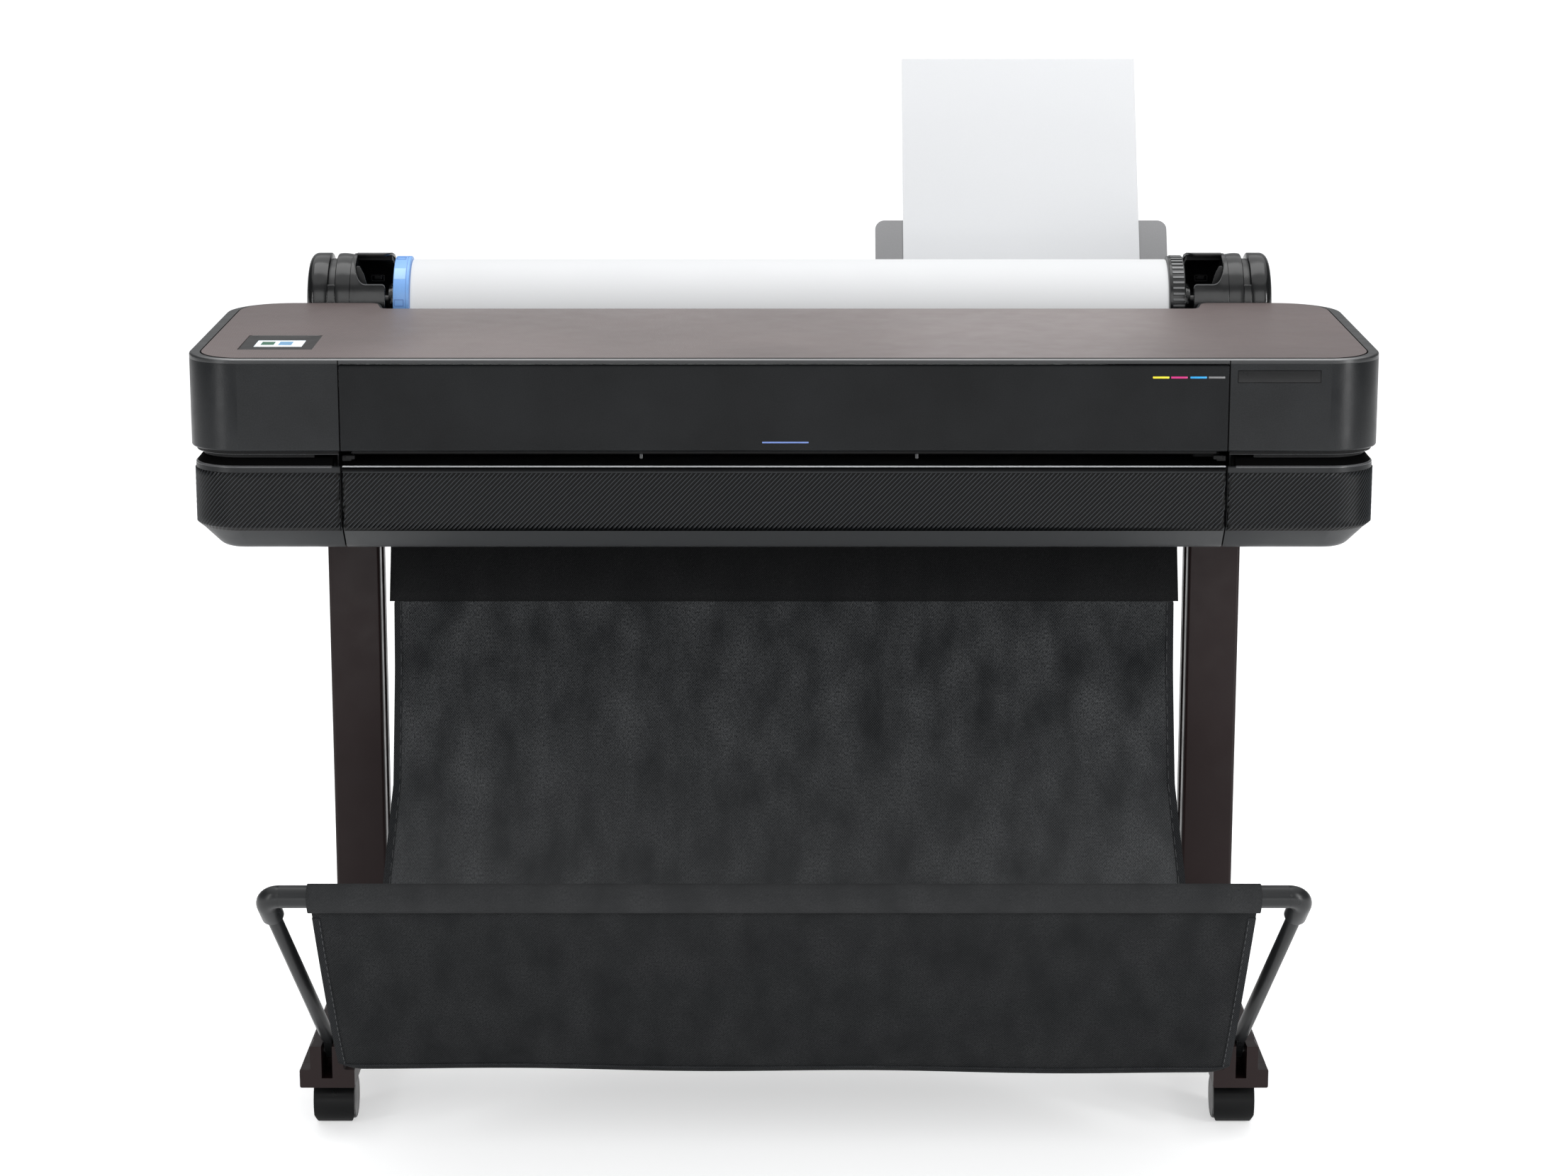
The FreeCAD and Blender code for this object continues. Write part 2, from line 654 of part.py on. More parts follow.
def make_rear_cover():
    """Rear wall of the housing with the trough under the roll."""
    body = new_body("rear_cover")
    near, back = front + cover_depth + 0.6, front + rear_depth
    half = rear_half
    top = roll_z - 23
    outline = [
        (-half, near), (half, near), (half, back, 30), (-half, back, 30),
    ]
    prism(body, "XY", outline, body_bottom, top)
    inner = half - skin
    cavity = [
        (-inner, near - 5), (inner, near - 5), (inner, back - skin, 27), (-inner, back - skin, 27),
    ]
    prism(body, "XY", cavity, body_bottom, roll_z - trough_radius - 14, cut=True)
    for name, side in SIDES:
        low, high = span(side, 0, holder_drum, roll_shift)
        disc(body, "YZ", (roll_y, roll_z), trough_radius, low, high, cut=True)
        low, high = span(side, holder_drum, holder_outer + 0.5, roll_shift)
        disc(body, "YZ", (roll_y, roll_z), holder_radius + 0.2, low, high, cut=True)
    inlet = rectangle(inlet_x - inlet_half, inlet_z - 15, inlet_x + inlet_half, inlet_z + 15)
    prism(body, "XZ", inlet, back - skin - 2, back + 1, cut=True)
    keep(body, "rear_cover")


def make_power_inlet():
    """Three-pin appliance inlet, open to the rear."""
    body = new_body("power_inlet")
    back = front + rear_depth
    shell = rectangle(inlet_x - inlet_half + 0.2, inlet_z - 14.8, inlet_x + inlet_half - 0.2,
                      inlet_z + 14.8)
    prism(body, "XZ", shell, back - 22, back)
    mouth = rectangle(inlet_x - 12.5, inlet_z - 8.5, inlet_x + 12.5, inlet_z + 8.5, 3)
    prism(body, "XZ", mouth, back - 17, back, cut=True)
    for across in (-7, 0, 7):
        pin = rectangle(inlet_x + across - 1, inlet_z - 3, inlet_x + across + 1, inlet_z + 3)
        prism(body, "XZ", pin, back - 17, back - 5)
    keep(body, "power_inlet")


# ---------------------------------------------------------------- roll

def make_roll_holder(name, side):
    """Round holder with an end cap, a drum, a front lip, a rear hood and a bearing saddle."""
    body = new_body(f"roll_holder_{name}")
    axis = (roll_y, roll_z)
    inner = holder_radius - 7

    low, high = span(side, holder_neck, holder_outer, roll_shift)
    disc(body, "YZ", axis, holder_radius, low, high)
    fillet(body, 8, lambda edge: abs(edge.CenterOfMass.x - roll_shift.value) > holder_outer.value - 1
           and len(edge.Vertexes) == 1)
    low, high = span(side, holder_hood, holder_neck, roll_shift)
    disc(body, "YZ", axis, holder_radius, low, high)
    # The bay that takes the spindle's end, between the lip and the hood.
    low, high = span(side, holder_hood, holder_drum, roll_shift)
    disc(body, "YZ", axis, inner, low, high, cut=True)
    mouth = rectangle(roll_y - holder_radius - 2, lip_top, roll_y + 10, roll_z + holder_radius + 5)
    prism(body, "YZ", mouth, low, high, cut=True)
    low, high = span(side, holder_hood, holder_lip, roll_shift)
    below = rectangle(roll_y - holder_radius - 2, roll_z - holder_radius - 5, roll_y + 10, lip_top)
    prism(body, "YZ", below, low, high, cut=True)
    # The slot behind the end cap.
    low, high = span(side, holder_neck, holder_cap, roll_shift)
    slot = rectangle(roll_y - holder_radius - 2, lip_top, roll_y - 28, roll_z + holder_radius + 5)
    prism(body, "YZ", slot, low, high, cut=True)
    crown = rectangle(roll_y - 28, roll_z + 46, roll_y + 30, roll_z + holder_radius + 5)
    prism(body, "YZ", crown, low, high, cut=True)
    # The saddle under the spindle's end.
    low, high = span(side, saddle_near, saddle_far, roll_shift)
    saddle = [
        (roll_y - 30, roll_z - 50), (roll_y + 30, roll_z - 50), (roll_y + 30, roll_z + 4),
        (roll_y - 30, roll_z + 4),
    ]
    prism(body, "YZ", saddle, low, high)
    disc(body, "YZ", axis, shaft_radius + 0.06, low, high, cut=True)
    keep(body, f"roll_holder_{name}")


def make_spindle():
    body = new_body("spindle")
    axis = (roll_y, roll_z)
    left, right = -holder_drum + roll_shift + 4, holder_drum + roll_shift - 4
    disc(body, "YZ", axis, shaft_radius, left, right)
    for side in (-1, 1):
        low, high = span(side, roll_half + flange_width + 2, holder_lip, roll_shift)
        disc(body, "YZ", axis, collar_radius, low, high)
    keep(body, "spindle")


def make_flange(label, side):
    """A roll stop: a disc outside the paper and a hub that plugs into the core."""
    body = new_body(label)
    axis = (roll_y, roll_z)
    low, high = span(side, roll_half + 1, roll_half + 1 + flange_width, roll_shift)
    disc(body, "YZ", axis, flange_radius, low, high)
    low, high = span(side, roll_half - 34, roll_half + 1, roll_shift)
    disc(body, "YZ", axis, core_bore - 0.05, low, high)
    low, high = span(side, roll_half - 34, roll_half + 1 + flange_width, roll_shift)
    disc(body, "YZ", axis, shaft_radius + 0.02, low, high, cut=True)
    keep(body, label)


def make_tube(label, outer, inner):
    body = new_body(label)
    axis = (roll_y, roll_z)
    low, high = roll_shift - roll_half, roll_shift + roll_half
    disc(body, "YZ", axis, outer, low, high)
    disc(body, "YZ", axis, inner, low, high, cut=True)
    keep(body, label)


# ---------------------------------------------------------------- sheet feeder

def on_lean(along, behind):
    """A point in the YZ plane, along the leaning sheet and behind its face."""
    across = sheet_foot_y + along * sine(lean) + behind * cosine(lean)
    up = sheet_foot_z + along * cosine(lean) - behind * sine(lean)
    return across, up


def leaning_plate(body, bottom, top, near, far, left, right, cut=False):
    """A plate that follows the sheet's lean between two depths."""
    bottom, top, near, far = (formula(item) for item in (bottom, top, near, far))
    outline = [on_lean(bottom, near), on_lean(bottom, far), on_lean(top, far), on_lean(top, near)]
    return prism(body, "YZ", outline, left, right, cut)


def make_feeder_tray():
    body = new_body("feeder_tray")
    left, right = sheet_x - tray_half, sheet_x + tray_half
    leaning_plate(body, -14, tray_length, 1.2, 4.2, left, right)
    top_z = on_lean(tray_length, formula(2.7))[1].value
    fillet(body, 12, lambda edge: edge.BoundBox.XLength < 0.1 and edge.Length < 4
           and edge.CenterOfMass.z > top_z - 2)
    back = front + rear_depth
    shelf = [
        (back + 0.2, sheet_foot_z - 50), on_lean(formula(-14), formula(4)),
        on_lean(formula(-0.4), formula(4)), on_lean(formula(-0.4), formula(-6)),
        (back + 0.2, sheet_foot_z - 12),
    ]
    prism(body, "YZ", shelf, left, right)
    keep(body, "feeder_tray")


def make_width_guide(name, side):
    """A guide that stands against one long edge of the sheet."""
    body = new_body(f"width_guide_{name}")
    edge = sheet_width / 2 + 0.5
    low, high = span(side, edge, edge + 13, sheet_x)
    leaning_plate(body, 14, 86, -5, 0.8, low, high)
    keep(body, f"width_guide_{name}")


def make_sheet():
    body = new_body("paper_sheet")
    leaning_plate(body, 0, sheet_length, 0, sheet_thickness, sheet_x - sheet_width / 2,
                  sheet_x + sheet_width / 2)
    keep(body, "paper_sheet")


# ---------------------------------------------------------------- printing works

def make_platen():
    body = new_body("platen")
    prism(body, "XY", rectangle(-480, front + 60, 360, front + 150), platen_top - 6, platen_top)
    keep(body, "platen")


def make_feed_roller():
    """Feed roller with its journals and the gear at its left end."""
    body = new_body("feed_roller")
    axis = (feed_y, platen_top - feed_radius)
    disc(body, "YZ", axis, feed_radius, -482, 482)
    disc(body, "YZ", axis, journal_radius, -plate_x - 13, plate_x + 2.4)
    disc(body, "YZ", axis, 32, -plate_x - 11, -plate_x - 4)
    keep(body, "feed_roller")


def make_pinch_rollers():
    body = new_body("pinch_rollers")
    axis = (feed_y, platen_top + pinch_radius + 0.3)
    disc(body, "YZ", axis, 2.5, -470, 470)
    rollers = 8
    pitch = 110
    for number in range(rollers):
        middle = (number - (rollers - 1) / 2) * pitch
        disc(body, "YZ", axis, pinch_radius, middle - 22, middle + 22)
    keep(body, "pinch_rollers")


def make_side_plates():
    """Two steel plates that carry the feed roller's journals and the carriage rail."""
    plates = []
    for name, side in SIDES:
        body = new_body(f"side_plate_{name}")
        low, high = span(side, plate_x, plate_x + 2.5)
        outline = rectangle(front + 60, body_bottom + 12, front + 380, rim_bottom - 4)
        prism(body, "YZ", outline, low, high)
        disc(body, "YZ", (feed_y, platen_top - feed_radius), journal_radius + 0.06, low, high, cut=True)
        plates.append(body)
    keep(group("side_plates", plates), "side_plates")


def make_carriage_rail():
    body = new_body("carriage_rail")
    near, far = front + 180, front + 222
    low, high = platen_top + 38, platen_top + 84
    steel = 2.5
    outline = [
        (near, low), (far, low), (far, high), (near, high), (near, high - steel),
        (far - steel, high - steel), (far - steel, low + steel), (near, low + steel),
    ]
    prism(body, "YZ", outline, -plate_x, plate_x)
    keep(body, "carriage_rail")


def make_carriage():
    """Carriage with its rear slider, and the print heads under it."""
    body = new_body("carriage")
    left, right = carriage_x - carriage_half, carriage_x + carriage_half
    outline = [
        (front + 64, platen_top + 6), (front + 150, platen_top + 6), (front + 150, platen_top + 44),
        (front + 179.4, platen_top + 44), (front + 179.4, platen_top + 78),
        (front + 150, platen_top + 92, 6), (front + 64, platen_top + 92, 6),
    ]
    prism(body, "YZ", outline, left, right)
    keep(body, "carriage")
    heads = []
    for number in range(4):
        start = left + 8 + number * 24.5
        heads.append(block(f"head_{number}", (start, front + 72, platen_top + 2),
                           (start + 20, front + 140, platen_top + 6)))
    keep(group("print_heads", heads), "print_heads")


def make_drive_belt():
    body = new_body("drive_belt")
    middle_y = front + 200
    low, high = platen_top + 88, platen_top + 94
    prism(body, "XY", rectangle(-482, middle_y - 9, 482, middle_y + 9, 8.9), low, high)
    prism(body, "XY", rectangle(-480.8, middle_y - 7.8, 480.8, middle_y + 7.8, 7.7), low, high, cut=True)
    keep(body, "drive_belt")


def make_motors():
    feed = rod("feed_motor", (-plate_x + 1, feed_y + 90, platen_top - 30), "x", 20, 46)
    slide = rod("slide_motor", (-462, front + 250, platen_top + 34), "z", 20, 50)
    keep(group("drive_motors", [feed, slide]), "drive_motors")


def make_cartridges():
    """Four ink cartridges side by side in the right end."""
    boxes = []
    for number in range(4):
        left = plate_x + 30 + number * 27
        boxes.append(block(f"cartridge_{number}", (left, front + 70, platen_top - 2),
                           (left + 22, front + 168, platen_top + 68)))
    keep(group("ink_cartridges", boxes), "ink_cartridges")


def make_service_station():
    body = new_body("service_station")
    low = platen_top - 46
    prism(body, "XY", rectangle(366, front + 62, 486, front + 148), low, platen_top)
    prism(body, "XY", rectangle(374, front + 70, 478, front + 140), platen_top - 16, platen_top, cut=True)
    keep(body, "service_station")


def make_electronics():
    board = block("board", (-380, front + 440, body_bottom + 14), (-120, front + 442, body_bottom + 120))
    heatsink = block("heatsink", (-300, front + 442, body_bottom + 40),
                     (-240, front + 460, body_bottom + 90))
    main_board = fuse("main_board", [board, heatsink])
    supply = block("power_supply", (60, front + 420, body_bottom + 12), (280, front + 505, body_bottom + 70))
    keep(group("electronics", [main_board, supply]), "electronics")


def make_cutter():
    """Rotary cutter that runs along the output slot."""
    body = new_body("paper_cutter")
    prism(body, "XY", rectangle(452, front + 32, 482, front + 52, 3), gap_bottom + 6, gap_top + 12)
    keep(body, "paper_cutter")


# ---------------------------------------------------------------- stand

def make_column(name, side):
    """Hollow square extrusion with a slot along its inner face."""
    body = new_body(f"column_{name}")
    half = column_side / 2
    left, right = from_middle(1, -half, column_x * side), from_middle(1, half, column_x * side)
    near, far = column_front, column_front + column_side
    prism(body, "XY", rectangle(left, near, right, far, 4), foot_top, body_bottom)
    wall = 8
    prism(body, "XY", rectangle(left + wall, near + wall, right - wall, far - wall), foot_top,
          body_bottom, cut=True)
    face = left if side > 0 else right
    middle_y = (near + far) / 2
    bottom, mouth = face + 3.5 * side, face - side
    groove = [
        (bottom, middle_y - column_slot), (mouth, middle_y - column_slot - 3),
        (mouth, middle_y + column_slot + 3), (bottom, middle_y + column_slot),
    ]
    prism(body, "XY", groove, foot_top, body_bottom, cut=True)
    keep(body, f"column_{name}")


def foot_section(side):
    middle = foot_x * side
    return [
        (middle - foot_half, foot_bottom, 2), (middle + foot_half, foot_bottom, 2),
        (middle + foot_half, foot_step, 1.5), (middle + hat_half, foot_step, 1.5),
        (middle + hat_half, foot_top, 2), (middle - hat_half, foot_top, 2),
        (middle - hat_half, foot_step, 1.5), (middle - foot_half, foot_step, 1.5),
    ]


def make_foot(name, side):
    """Foot between its two end caps, bored for the casters and slotted for a basket arm."""
    body = new_body(f"foot_{name}")
    start, end = foot_front + cap_length + 0.2, foot_front + foot_length - cap_length - 0.2
    prism(body, "XZ", foot_section(side), start, end)
    middle = foot_x * side
    slot = rectangle(middle - slot_half, slot_floor, middle + slot_half, foot_top + 2)
    prism(body, "XZ", slot, start - 1, foot_front + slot_length, cut=True)
    for stem_y in (caster_front, caster_rear):
        disc(body, "XY", (middle, stem_y), 5.6, foot_bottom, foot_bottom + 10.4, cut=True)
    disc(body, "YZ", (pivot_y, pivot_z), pin_radius, middle - hat_half - 1, middle + hat_half + 1, cut=True)
    keep(body, f"foot_{name}")


def make_foot_caps():
    caps = []
    for name, side in SIDES:
        middle = foot_x * side
        for place, start in (("front", foot_front), ("rear", foot_front + foot_length - cap_length)):
            body = new_body(f"cap_{place}_{name}")
            prism(body, "XZ", foot_section(side), start, start + cap_length)
            if place == "front":
                slot = rectangle(middle - slot_half, slot_floor, middle + slot_half, foot_top + 2)
                prism(body, "XZ", slot, start - 1, start + cap_length + 1, cut=True)
            caps.append(body)
    keep(group("foot_end_caps", caps), "foot_end_caps")


def make_cross_brace():
    inner = column_x - column_side / 2
    middle_y = column_front + column_side / 2
    brace = block("cross_brace", (-inner, middle_y - 15, 130), (inner, middle_y + 15, 180))
    keep(brace, "cross_brace")


def make_caster(name, side, stem_y):
    """Hooded twin-wheel caster: the swivelling hood and its pair of wheels."""
    middle = foot_x * side
    axle = (stem_y + caster_trail, wheel_radius)
    hood_outer = wheel_radius + 3.5
    half = web_half + 1 + wheel_width
    hood = new_body(f"caster_hood_{name}")
    disc(hood, "YZ", axle, hood_outer, middle - half, middle + half)
    wheel_spaces = ((middle - half, middle - web_half), (middle + web_half, middle + half))
    for low, high in wheel_spaces:
        disc(hood, "YZ", axle, wheel_radius + 1.2, low, high, cut=True)
    below = rectangle(stem_y + caster_trail - 40, -10, stem_y + caster_trail + 40, wheel_radius - 6)
    prism(hood, "YZ", below, middle - half - 1, middle + half + 1, cut=True)
    behind = rectangle(stem_y + caster_trail + 14, -10, stem_y + caster_trail + 40, 70)
    prism(hood, "YZ", behind, middle - half - 1, middle + half + 1, cut=True)
    disc(hood, "XY", (middle, stem_y), 13, wheel_radius + 21, foot_bottom - 0.4)
    disc(hood, "XY", (middle, stem_y), 5.5, foot_bottom - 1, foot_bottom + 10)
    for low, high in wheel_spaces:
        disc(hood, "YZ", axle, wheel_radius + 1.2, low, high, cut=True)
    disc(hood, "YZ", axle, 4.06, middle - web_half - 1, middle + web_half + 1, cut=True)
    keep(hood, f"caster_hood_{name}")

    wheels = new_body(f"caster_wheels_{name}")
    disc(wheels, "YZ", axle, 4, middle - half + 1, middle + half - 1)
    disc(wheels, "YZ", axle, wheel_radius, middle - half, middle - web_half - 1)
    disc(wheels, "YZ", axle, wheel_radius, middle + web_half + 1, middle + half)
    fillet(wheels, 2.5, lambda edge: len(edge.Vertexes) == 1
           and edge.BoundBox.ZLength > 1.9 * wheel_radius.value)
    keep(wheels, f"caster_wheels_{name}")


# ---------------------------------------------------------------- basket

def point(x, y, z):
    return Vector(formula(x).value, formula(y).value, formula(z).value)


def solid_feature(name, shape):
    piece = document.addObject("Part::Feature", name)
    piece.Shape = shape
    piece.Placement = Placement()
    return piece


def make_basket_frame():
    bar = rod("basket_bar", (-bar_half, bar_y, bar_z), "x", bar_radius, bar_half * 2)
    keep(bar, "basket_bar")
    elbows = []
    arms = []
    pins = []
    for name, side in SIDES:
        bar_end = point(bar_half * side, bar_y, bar_z)
        turn = point(elbow_x * side, bar_y, bar_z)
        knee = point(foot_x * side, arm_knee_y, arm_knee_z)
        down = (knee - turn).normalize()
        collar = 38
        reach = (turn - bar_end).Length
        bend_start = bar_end
        bend_end = turn + down * reach
        middle = (bend_start + bend_end) * 0.5
        half_turn = (turn - bar_end).getAngle(down) / 2
        centre = turn + (middle - turn).normalize() * (reach / math.sin(half_turn))
        to_turn = (turn - centre).normalize()
        radius = reach / math.tan(half_turn)
        arc = Part.Arc(bend_start, centre + to_turn * radius, bend_end)
        collar_end = turn + down * collar
        path = Part.Wire([arc.toShape(), Part.LineSegment(bend_end, collar_end).toShape()])
        ring = Part.Wire([Part.Circle(bend_start, turn - bar_end, bar_radius.value).toShape()])
        elbows.append(solid_feature(f"elbow_{name}", path.makePipeShell([ring], True, True)))

        tube = Part.makeCylinder(arm_radius.value, (knee - collar_end).Length, collar_end, down)
        knee_ball = Part.makeSphere(arm_radius.value, knee)
        pivot = point(foot_x * side, pivot_y, pivot_z)
        lower = (pivot - knee).normalize()
        across = Vector(1, 0, 0)
        flat = slot_half.value - 1.5
        depth = arm_radius.value - 0.5
        broad = lower.cross(across).normalize()
        corners = [
            knee + broad * depth, knee - broad * depth, pivot - broad * depth, pivot + broad * depth,
        ]
        wire = Part.makePolygon([item - across * flat for item in corners + corners[:1]])
        tongue = Part.Face(wire).extrude(across * flat * 2)
        eye = Part.makeCylinder(depth, flat * 2, pivot - across * flat, across)
        bore = Part.makeCylinder(pin_radius.value + 0.06, 40, pivot - across * 20, across)
        arm = tube.fuse([knee_ball, tongue, eye]).removeSplitter().cut(bore)
        arms.append(solid_feature(f"arm_{name}", arm))
        pin_start = (foot_x * side - hat_half, pivot_y, pivot_z)
        pins.append(rod(f"pivot_pin_{name}", pin_start, "x", pin_radius, hat_half * 2))
    keep(group("basket_elbows", elbows), "basket_elbows")
    keep(group("basket_arms", arms), "basket_arms")
    keep(group("basket_pivot_pins", pins), "basket_pivot_pins")


def make_cloth_rod():
    bar = rod("cloth_rod", (-cloth_half - 4, rod_y, rod_z), "x", rod_radius, cloth_half * 2 + 8)
    keep(bar, "cloth_rod")


def make_cloth_back():
    """Back panel and floor of the basket cloth."""
    body = new_body("basket_cloth_back")
    rise = (fold_z - rod_z) * -1
    run = rod_y - fold_back_y
    lean_y = run / rise
    top_y = rod_y - rod_radius - cloth - 2
    outline = [
        (top_y, rod_z + 4), (fold_back_y - cloth - lean_y * 3, fold_z + 2, 30),
        (fold_front_y + 12, fold_z + 2), (fold_front_y + 12, fold_z),
        (fold_back_y, fold_z, 32), (top_y + cloth, rod_z + 4),
    ]
    prism(body, "YZ", outline, -cloth_half, cloth_half)
    keep(body, "basket_cloth_back")


def make_cloth_front():
    """Front flap of the basket cloth, which hangs from the bar."""
    body = new_body("basket_cloth_front")
    top = bar_z - 5
    face_y = bar_y - bar_radius * 0.94
    outline = [
        (face_y - cloth, top), (fold_front_y - cloth, fold_z + 6), (fold_front_y + 8, fold_z),
        (fold_front_y + 8, fold_z + cloth), (fold_front_y, fold_z + 7), (face_y, top),
    ]
    prism(body, "YZ", outline, -flap_half, flap_half)
    keep(body, "basket_cloth_front")


# ---------------------------------------------------------------- assembly

make_base_pan()
make_lower_front_cover()
make_output_guide()
make_front_door()
make_top_rim()
make_lid_panel()
make_control_panel()
make_inner_housings()
make_rear_cover()
make_power_inlet()
make_spindle()
make_flange("roll_stop", -1)
make_flange("drive_flange", 1)
make_tube("media_roll", roll_radius, core_radius)
make_tube("media_core", core_radius, core_bore)
make_feeder_tray()
make_sheet()
make_platen()
make_feed_roller()
make_pinch_rollers()
make_side_plates()
make_carriage_rail()
make_carriage()
make_drive_belt()
make_motors()
make_cartridges()
make_service_station()
make_electronics()
make_cutter()
make_foot_caps()
make_cross_brace()
make_basket_frame()
make_cloth_rod()
make_cloth_back()
make_cloth_front()
for side_name, side_sign in SIDES:
    make_lower_end_cover(side_name, side_sign)
    make_upper_end_cover(side_name, side_sign)
    make_roll_holder(side_name, side_sign)
    make_width_guide(side_name, side_sign)
    make_column(side_name, side_sign)
    make_foot(side_name, side_sign)
    make_caster(f"front_{side_name}", side_sign, caster_front)
    make_caster(f"rear_{side_name}", side_sign, caster_rear)

document.recompute()

faults = []
for item in document.Objects:
    if "Invalid" in item.State or "Error" in item.State:
        faults.append(f"{item.Label}: {item.State}")
    if item.TypeId == "PartDesign::Pocket":
        removed = item.BaseFeature.Shape.Volume - item.Shape.Volume
        if removed < 0.001:
            faults.append(f"{item.Label}: cuts nothing")
for piece in parts:
    if piece.Shape.isNull() or not piece.Shape.isValid():
        faults.append(f"{piece.Label}: no valid shape")
if faults:
    raise RuntimeError("; ".join(faults))

os.makedirs("parts", exist_ok=True)
whole = FreeCAD.BoundBox()
for piece in parts:
    piece.Shape.exportStep(os.path.join("parts", f"{piece.Label}.step"))
    whole.add(piece.Shape.BoundBox)
print(len(parts), "sub-parts", whole)
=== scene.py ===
"""Looks of the large format plotter: materials of the CAD pieces, and pieces that replace or dress them."""

import bmesh
import bpy
import math
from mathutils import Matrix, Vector


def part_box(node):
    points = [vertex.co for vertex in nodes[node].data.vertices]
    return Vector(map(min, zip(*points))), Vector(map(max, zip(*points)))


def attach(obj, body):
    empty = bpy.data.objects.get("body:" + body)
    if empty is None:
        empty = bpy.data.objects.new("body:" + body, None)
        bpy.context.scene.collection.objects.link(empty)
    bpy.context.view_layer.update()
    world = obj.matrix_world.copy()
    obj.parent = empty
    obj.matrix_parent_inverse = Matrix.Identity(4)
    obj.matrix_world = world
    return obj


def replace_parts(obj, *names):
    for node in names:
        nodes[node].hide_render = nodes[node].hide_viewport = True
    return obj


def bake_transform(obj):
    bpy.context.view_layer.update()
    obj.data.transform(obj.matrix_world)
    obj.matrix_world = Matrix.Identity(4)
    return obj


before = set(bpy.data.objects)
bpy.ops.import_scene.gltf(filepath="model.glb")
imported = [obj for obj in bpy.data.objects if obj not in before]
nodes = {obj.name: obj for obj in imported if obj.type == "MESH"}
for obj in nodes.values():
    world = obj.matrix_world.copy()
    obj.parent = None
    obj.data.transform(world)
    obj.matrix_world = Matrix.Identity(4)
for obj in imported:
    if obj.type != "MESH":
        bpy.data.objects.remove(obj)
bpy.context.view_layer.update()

MM = 0.001
scene = bpy.context.scene


def extent(node):
    """Lowest and highest corner of a CAD node, in millimetres."""
    low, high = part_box(node)
    return [c / MM for c in low], [c / MM for c in high]


def middle(node):
    """Middle of a CAD node and half its height."""
    low, high = extent(node)
    return [(a + b) / 2 for a, b in zip(low, high)] + [(high[2] - low[2]) / 2]


def put(tree, socket, value):
    """Links an output to a socket, or sets the socket to a value."""
    if isinstance(value, bpy.types.NodeSocket):
        tree.links.new(value, socket)
    else:
        socket.default_value = value


SOCKETS = {"colour": "Base Color", "rough": "Roughness", "gleam": "Specular IOR Level", "metal": "Metallic",
           "glow": "Emission Color", "power": "Emission Strength"}


def give(shader, **values):
    """Outputs, numbers or colours for the sockets of a shader."""
    for name, value in values.items():
        put(shader.id_data, shader.inputs[SOCKETS[name]], value)


def reckon(tree, operation, *values, clamp=False):
    """A calculation with outputs or numbers."""
    made = tree.nodes.new("ShaderNodeMath")
    made.operation = operation
    made.use_clamp = clamp
    for socket, value in zip(made.inputs, values):
        put(tree, socket, value)
    return made.outputs[0]


def ranged(tree, value, from_min, from_max, to_min=0.0, to_max=1.0, kind="LINEAR"):
    """One range of a value mapped to another."""
    made = tree.nodes.new("ShaderNodeMapRange")
    made.interpolation_type = kind
    for socket, given in zip(made.inputs, (value, from_min, from_max, to_min, to_max)):
        put(tree, socket, given)
    return made.outputs[0]


def part_of(tree, vector, axis):
    """One coordinate of a vector."""
    made = tree.nodes.new("ShaderNodeSeparateXYZ")
    tree.links.new(vector, made.inputs[0])
    return made.outputs[axis]


# ---- camera and light
EYE_BACK, EYE_HIGH, LOOK_DOWN = 4.0227, 1.403, 0.205
camera_data = bpy.data.cameras.new("camera")
camera = bpy.data.objects.new("camera", camera_data)
scene.collection.objects.link(camera)
camera.location = (0, -EYE_BACK, EYE_HIGH)
camera.rotation_euler = (math.pi / 2 - LOOK_DOWN, 0, 0)
camera_data.lens = 80.64
scene.camera = camera

scene.view_settings.view_transform = "Standard"
scene.view_settings.look = "None"

world = bpy.data.worlds.new("studio")
scene.world = world
world.use_nodes = True
tree = world.node_tree
tree.nodes.clear()
seen = tree.nodes.new("ShaderNodeBackground")
seen.inputs["Color"].default_value = (1, 1, 1, 1)
lighting = tree.nodes.new("ShaderNodeBackground")
lighting.inputs["Color"].default_value = (0.97, 0.985, 1, 1)
# dark flags stand at both sides: less light comes from the left and the right
WAY_OPEN, WAY_FLAGGED = 0.4, 0.1
way = part_of(tree, tree.nodes.new("ShaderNodeTexCoord").outputs["Generated"], 0)
put(tree, lighting.inputs["Strength"],
    ranged(tree, reckon(tree, "ABSOLUTE", way), 0.35, 0.7, WAY_OPEN, WAY_FLAGGED, "SMOOTHSTEP"))
mixed = tree.nodes.new("ShaderNodeMixShader")
output = tree.nodes.new("ShaderNodeOutputWorld")
for source, socket in ((tree.nodes.new("ShaderNodeLightPath").outputs["Is Camera Ray"], mixed.inputs[0]),
                       (lighting.outputs[0], mixed.inputs[1]), (seen.outputs[0], mixed.inputs[2]),
                       (mixed.outputs[0], output.inputs[0])):
    tree.links.new(source, socket)


def area_light(name, place, target, width, height, power):
    """A rectangular lamp that looks at a target."""
    data = bpy.data.lights.new(name, "AREA")
    data.shape = "RECTANGLE"
    data.size = width
    data.size_y = height
    data.energy = power
    light = bpy.data.objects.new(name, data)
    light.location = place
    light.rotation_euler = (Vector(target) - Vector(place)).to_track_quat("-Z", "Y").to_euler()
    scene.collection.objects.link(light)


